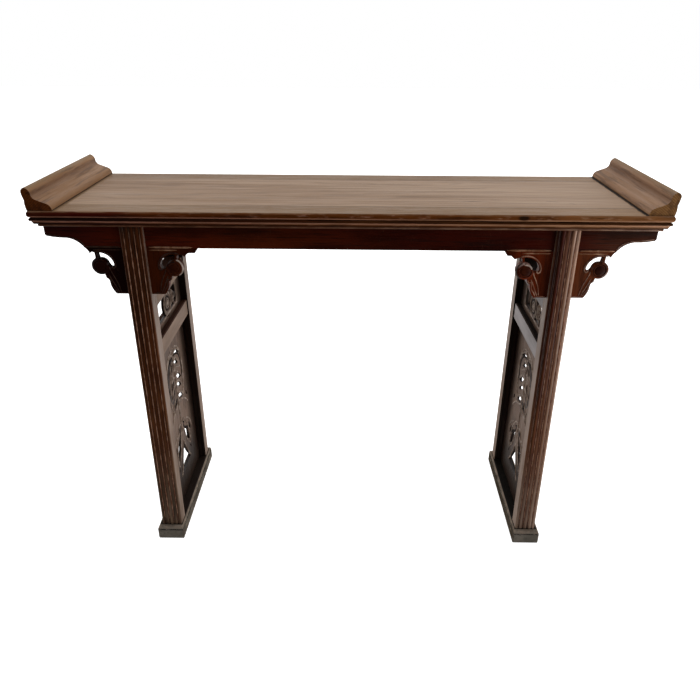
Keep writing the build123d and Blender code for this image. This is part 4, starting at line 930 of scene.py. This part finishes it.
def carve_upper_panel(side, materials):
    """Ring, framing bead, curl and curved bars of an upper panel, with dark rings of painted shade in the
    ring.
    """
    sign = SIDES[side]
    face = UPPER_PANEL_BOX[0][0]
    carving = Carving(lambda u, v, w: (sign * (face - w * MM), -sign * u * MM, v * MM))
    for radius, width in ((28.0, 4.4), (12.0, 3.6), (24.4, 2.0)):
        carving.bead(arc(RING_SPOT, radius, 0, 352, 44), width, 1.8, closed=True)
    carving.dome(RING_SPOT, RING_DOME, 28)
    half_u, half_v = FRAME_HALF
    low, high = RING_SPOT[1] - half_v, RING_SPOT[1] + half_v
    corners = [(-half_u, low), (half_u, low), (half_u, high), (-half_u, high)]
    frame_path = []
    for a, b in zip(corners, corners[1:] + corners[:1]):
        frame_path += [(a[0] + (b[0] - a[0]) * n / 12, a[1] + (b[1] - a[1]) * n / 12) for n in range(12)]
    carving.bead(frame_path, 3.6, 1.6, closed=True)
    carving.bead(arc((CURL_U, RING_SPOT[1]), 7.6, -260, 20, 20), 3.0, 1.2)
    for radius, reach in ((37.0, 34), (44.0, 28), (51.0, 23)):
        carving.bead(arc(RING_SPOT, radius, -reach, reach, 14), 3.6, 1.4, sunk=4.6)
    # Dark rings of painted shade in the ring.
    carving.shade = PAINTED_SHADE
    for radius, width in ((9.6, 2.6), (17.0, 5.2), (33.0, 3.6)):
        carving.bead(arc(RING_SPOT, radius, 0, 352, 44), width, 0.5, closed=True)
    carving.finish(f"carving_{side}_upper_panel", materials, "dark_lacquer")


# Where the carving is darkened, in x: the outer wings of the right legs, and the painted shade along their
# innermost bead.
RIGHT_OUTER_WING = (0.49, 0.51)
RIGHT_INNER_BEAD = (0.4415, 0.006, 0.002)     # a right leg's innermost bead: middle, reach, soft edge


def dark_sides(left, left_much, right_much):
    """Painted shade on the left up to a place, and darker on the outer wings of the right legs."""
    return lambda s: s.math("MAXIMUM", s.ramp(s.x, left, left + 0.02, left_much, 0.0),
                            s.ramp(s.x, *RIGHT_OUTER_WING, 0.0, right_much))


def shaded_rim_side(s):
    """Painted shade on the left of each inner ball's pale rim, the side away from the light."""
    middle = LEG_TOP_X - BALL_U * MM
    on_right = s.times(s.ramp(s.x, 0.0, 0.1), s.ramp(s.x, middle - 0.003, middle - 0.008), 0.9)
    on_left = s.ramp(s.x, 0.0065 - middle, 0.0045 - middle)
    return s.math("MAXIMUM", on_right, on_left)


def shaded_ridge(s):
    """Painted shade along the innermost bead of the right legs, most of all above."""
    return s.times(s.near(s.x, *RIGHT_INNER_BEAD), s.ramp(s.z, 0.2, 0.5, 0.2, 0.85))


def carve():
    front = carving_material("rubbed_carving", tone(126, 76, 54), tone(210, 166, 142), 0.2,
                             dark_sides(-0.32, 0.9, 0.5))
    brow = carving_material("rubbed_brow", tone(132, 84, 56), tone(206, 160, 128), 0.2,
                            dark_sides(-0.49, 0.9, 0.0))
    ball = carving_material("lacquered_ball", tone(54, 17, 6), tone(76, 33, 16), 0.08,
                            dark_sides(-0.50, 0.9, 0.65))
    # Pale rims of painted highlight, with painted shade on their left.
    rim = carving_material("painted_highlight_rim", tone(176, 152, 138), tone(222, 206, 196), 0.2, shaded_rim_side)
    ridge = carving_material("rubbed_ridge", tone(136, 86, 60), tone(206, 158, 132), 0.25, shaded_ridge)
    panel = carving_material("panel_carving", tone(104, 84, 70), tone(184, 166, 152), 0.12)
    # Dark beads of painted shade on the panels.
    hollow_shade = carving_material("panel_painted_shade", tone(20, 11, 7), tone(40, 25, 17), 0.02)
    for side in SIDES:
        for end in ENDS:
            carve_spandrel(side, end, [front, ball, rim, brow])
            carve_leg(side, end, ridge)
            carve_apron_end(side, end, front)
        carve_lower_panel(side, [panel, hollow_shade])
        carve_upper_panel(side, [panel, hollow_shade])


# Studio --------------------------------------------------------------------------------------
FLOOR_HALF = 12.0
FRONT_SHADE_Y = (-0.55, -0.10)          # the floor's bounce is dim in front of the table
RIGHT_LIGHT_X = (0.75, 1.0)


def make_world():
    """Soft light from above, behind and both sides, dim from the camera's side."""
    world = bpy.data.worlds.new("studio")
    bpy.context.scene.world = world
    world.use_nodes = True
    g = Graph(world.node_tree)
    x, y, z = g.split(g.add("ShaderNodeTexCoord").outputs["Generated"])
    above = g.ramp(z, -0.05, 0.5, 0.0, 1.0)
    behind = g.ramp(y, 0.0, 0.7, 0.0, 0.8)
    right = g.ramp(x, 0.5, 0.9, 0.0, 0.9)
    left = g.ramp(x, -0.5, -0.9, 0.0, 0.5)
    total = g.math("ADD", g.math("ADD", above, behind), g.math("ADD", right, left))
    total = g.times(total, g.ramp(y, -0.75, -0.1, 0.18, 1.0))
    seen = g.add("ShaderNodeLightPath").outputs["Is Camera Ray"]
    strength = g.math("MAXIMUM", g.times(total, g.math("SUBTRACT", 1.0, seen)), seen)
    background = g.add("ShaderNodeBackground")
    background.inputs["Color"].default_value = (1, 1, 1, 1)
    g.link(strength, background.inputs["Strength"])
    output = g.add("ShaderNodeOutputWorld")
    g.link(background.outputs[0], output.inputs[0])


def make_floor(name, height):
    mesh = bpy.data.meshes.new(name)
    half = FLOOR_HALF
    corners = [(-half, -half, height), (half, -half, height), (half, half, height), (-half, half, height)]
    mesh.from_pydata(corners, [], [(0, 1, 2, 3)])
    floor = bpy.data.objects.new(name, mesh)
    bpy.context.scene.collection.objects.link(floor)
    material = bpy.data.materials.new(name)
    material.use_nodes = True
    mesh.materials.append(material)
    return floor, Graph(material.node_tree)


def make_pale_floor():
    """The floor that is seen: white, with only a faint shadow where the feet stand."""
    floor, g = make_floor("pale_floor", 0.0)
    for flag in ("visible_diffuse", "visible_glossy", "visible_shadow", "visible_transmission"):
        setattr(floor, flag, False)
    glow = g.add("ShaderNodeEmission")
    glow.inputs["Strength"].default_value = 0.80
    plain = g.add("ShaderNodeBsdfDiffuse")
    plain.inputs["Color"].default_value = (0.85, 0.85, 0.85, 1)
    both = g.add("ShaderNodeAddShader")
    g.link(glow.outputs[0], both.inputs[0])
    g.link(plain.outputs[0], both.inputs[1])
    output = g.add("ShaderNodeOutputMaterial")
    g.link(both.outputs[0], output.inputs[0])


def make_bounce_floor():
    """The floor that throws light back at the table: pale behind and at the right, dim in front."""
    floor, g = make_floor("bounce_floor", -0.002)
    floor.visible_camera = False
    x, y, _ = g.split(g.add("ShaderNodeTexCoord").outputs["Object"])
    behind = g.ramp(y, *FRONT_SHADE_Y)
    right = g.times(g.ramp(x, *RIGHT_LIGHT_X), g.ramp(y, -1.0, -0.6))
    share = g.math("MAXIMUM", behind, right)
    plain = g.add("ShaderNodeBsdfDiffuse")
    g.link(g.mix(share, (0.06, 0.055, 0.05), (0.55, 0.53, 0.52)), plain.inputs["Color"])
    output = g.add("ShaderNodeOutputMaterial")
    g.link(plain.outputs[0], output.inputs[0])


WINDOW_PLACE = (1.25, -0.75, 0.75)
WINDOW_TARGET = (0.45, -0.15, 0.5)
PATCH_PLACE = (1.70, -0.35, 0.005)


def make_area_light(name, place, size, energy, colour):
    data = bpy.data.lights.new(name, "AREA")
    data.shape = "RECTANGLE"
    data.size, data.size_y = size
    data.energy = energy
    data.color = colour
    light = bpy.data.objects.new(name, data)
    light.location = place
    bpy.context.scene.collection.objects.link(light)
    return light


def make_window_light():
    """Soft light from the right and a little in front, which falls off towards the left."""
    light = make_area_light("window", WINDOW_PLACE, (0.45, 1.1), 1.4, (1.0, 0.96, 0.92))
    aim = Vector(WINDOW_TARGET) - light.location
    light.rotation_euler = aim.to_track_quat("-Z", "Y").to_euler()


def make_sunlit_patch():
    """Bright floor to the right, which shows as streaks of light down the right leg's mouldings."""
    light = make_area_light("sunlit_patch", PATCH_PLACE, (1.2, 1.4), 30.0, (1.0, 0.92, 0.86))
    light.rotation_euler = (math.pi, 0, 0)
    light.visible_camera = False


def make_studio():
    view = bpy.context.scene.view_settings
    view.view_transform = "Standard"
    view.look = "None"
    make_world()
    make_pale_floor()
    make_bounce_floor()
    make_window_light()
    make_sunlit_patch()


make_camera()
make_studio()
dress_nodes()
carve()
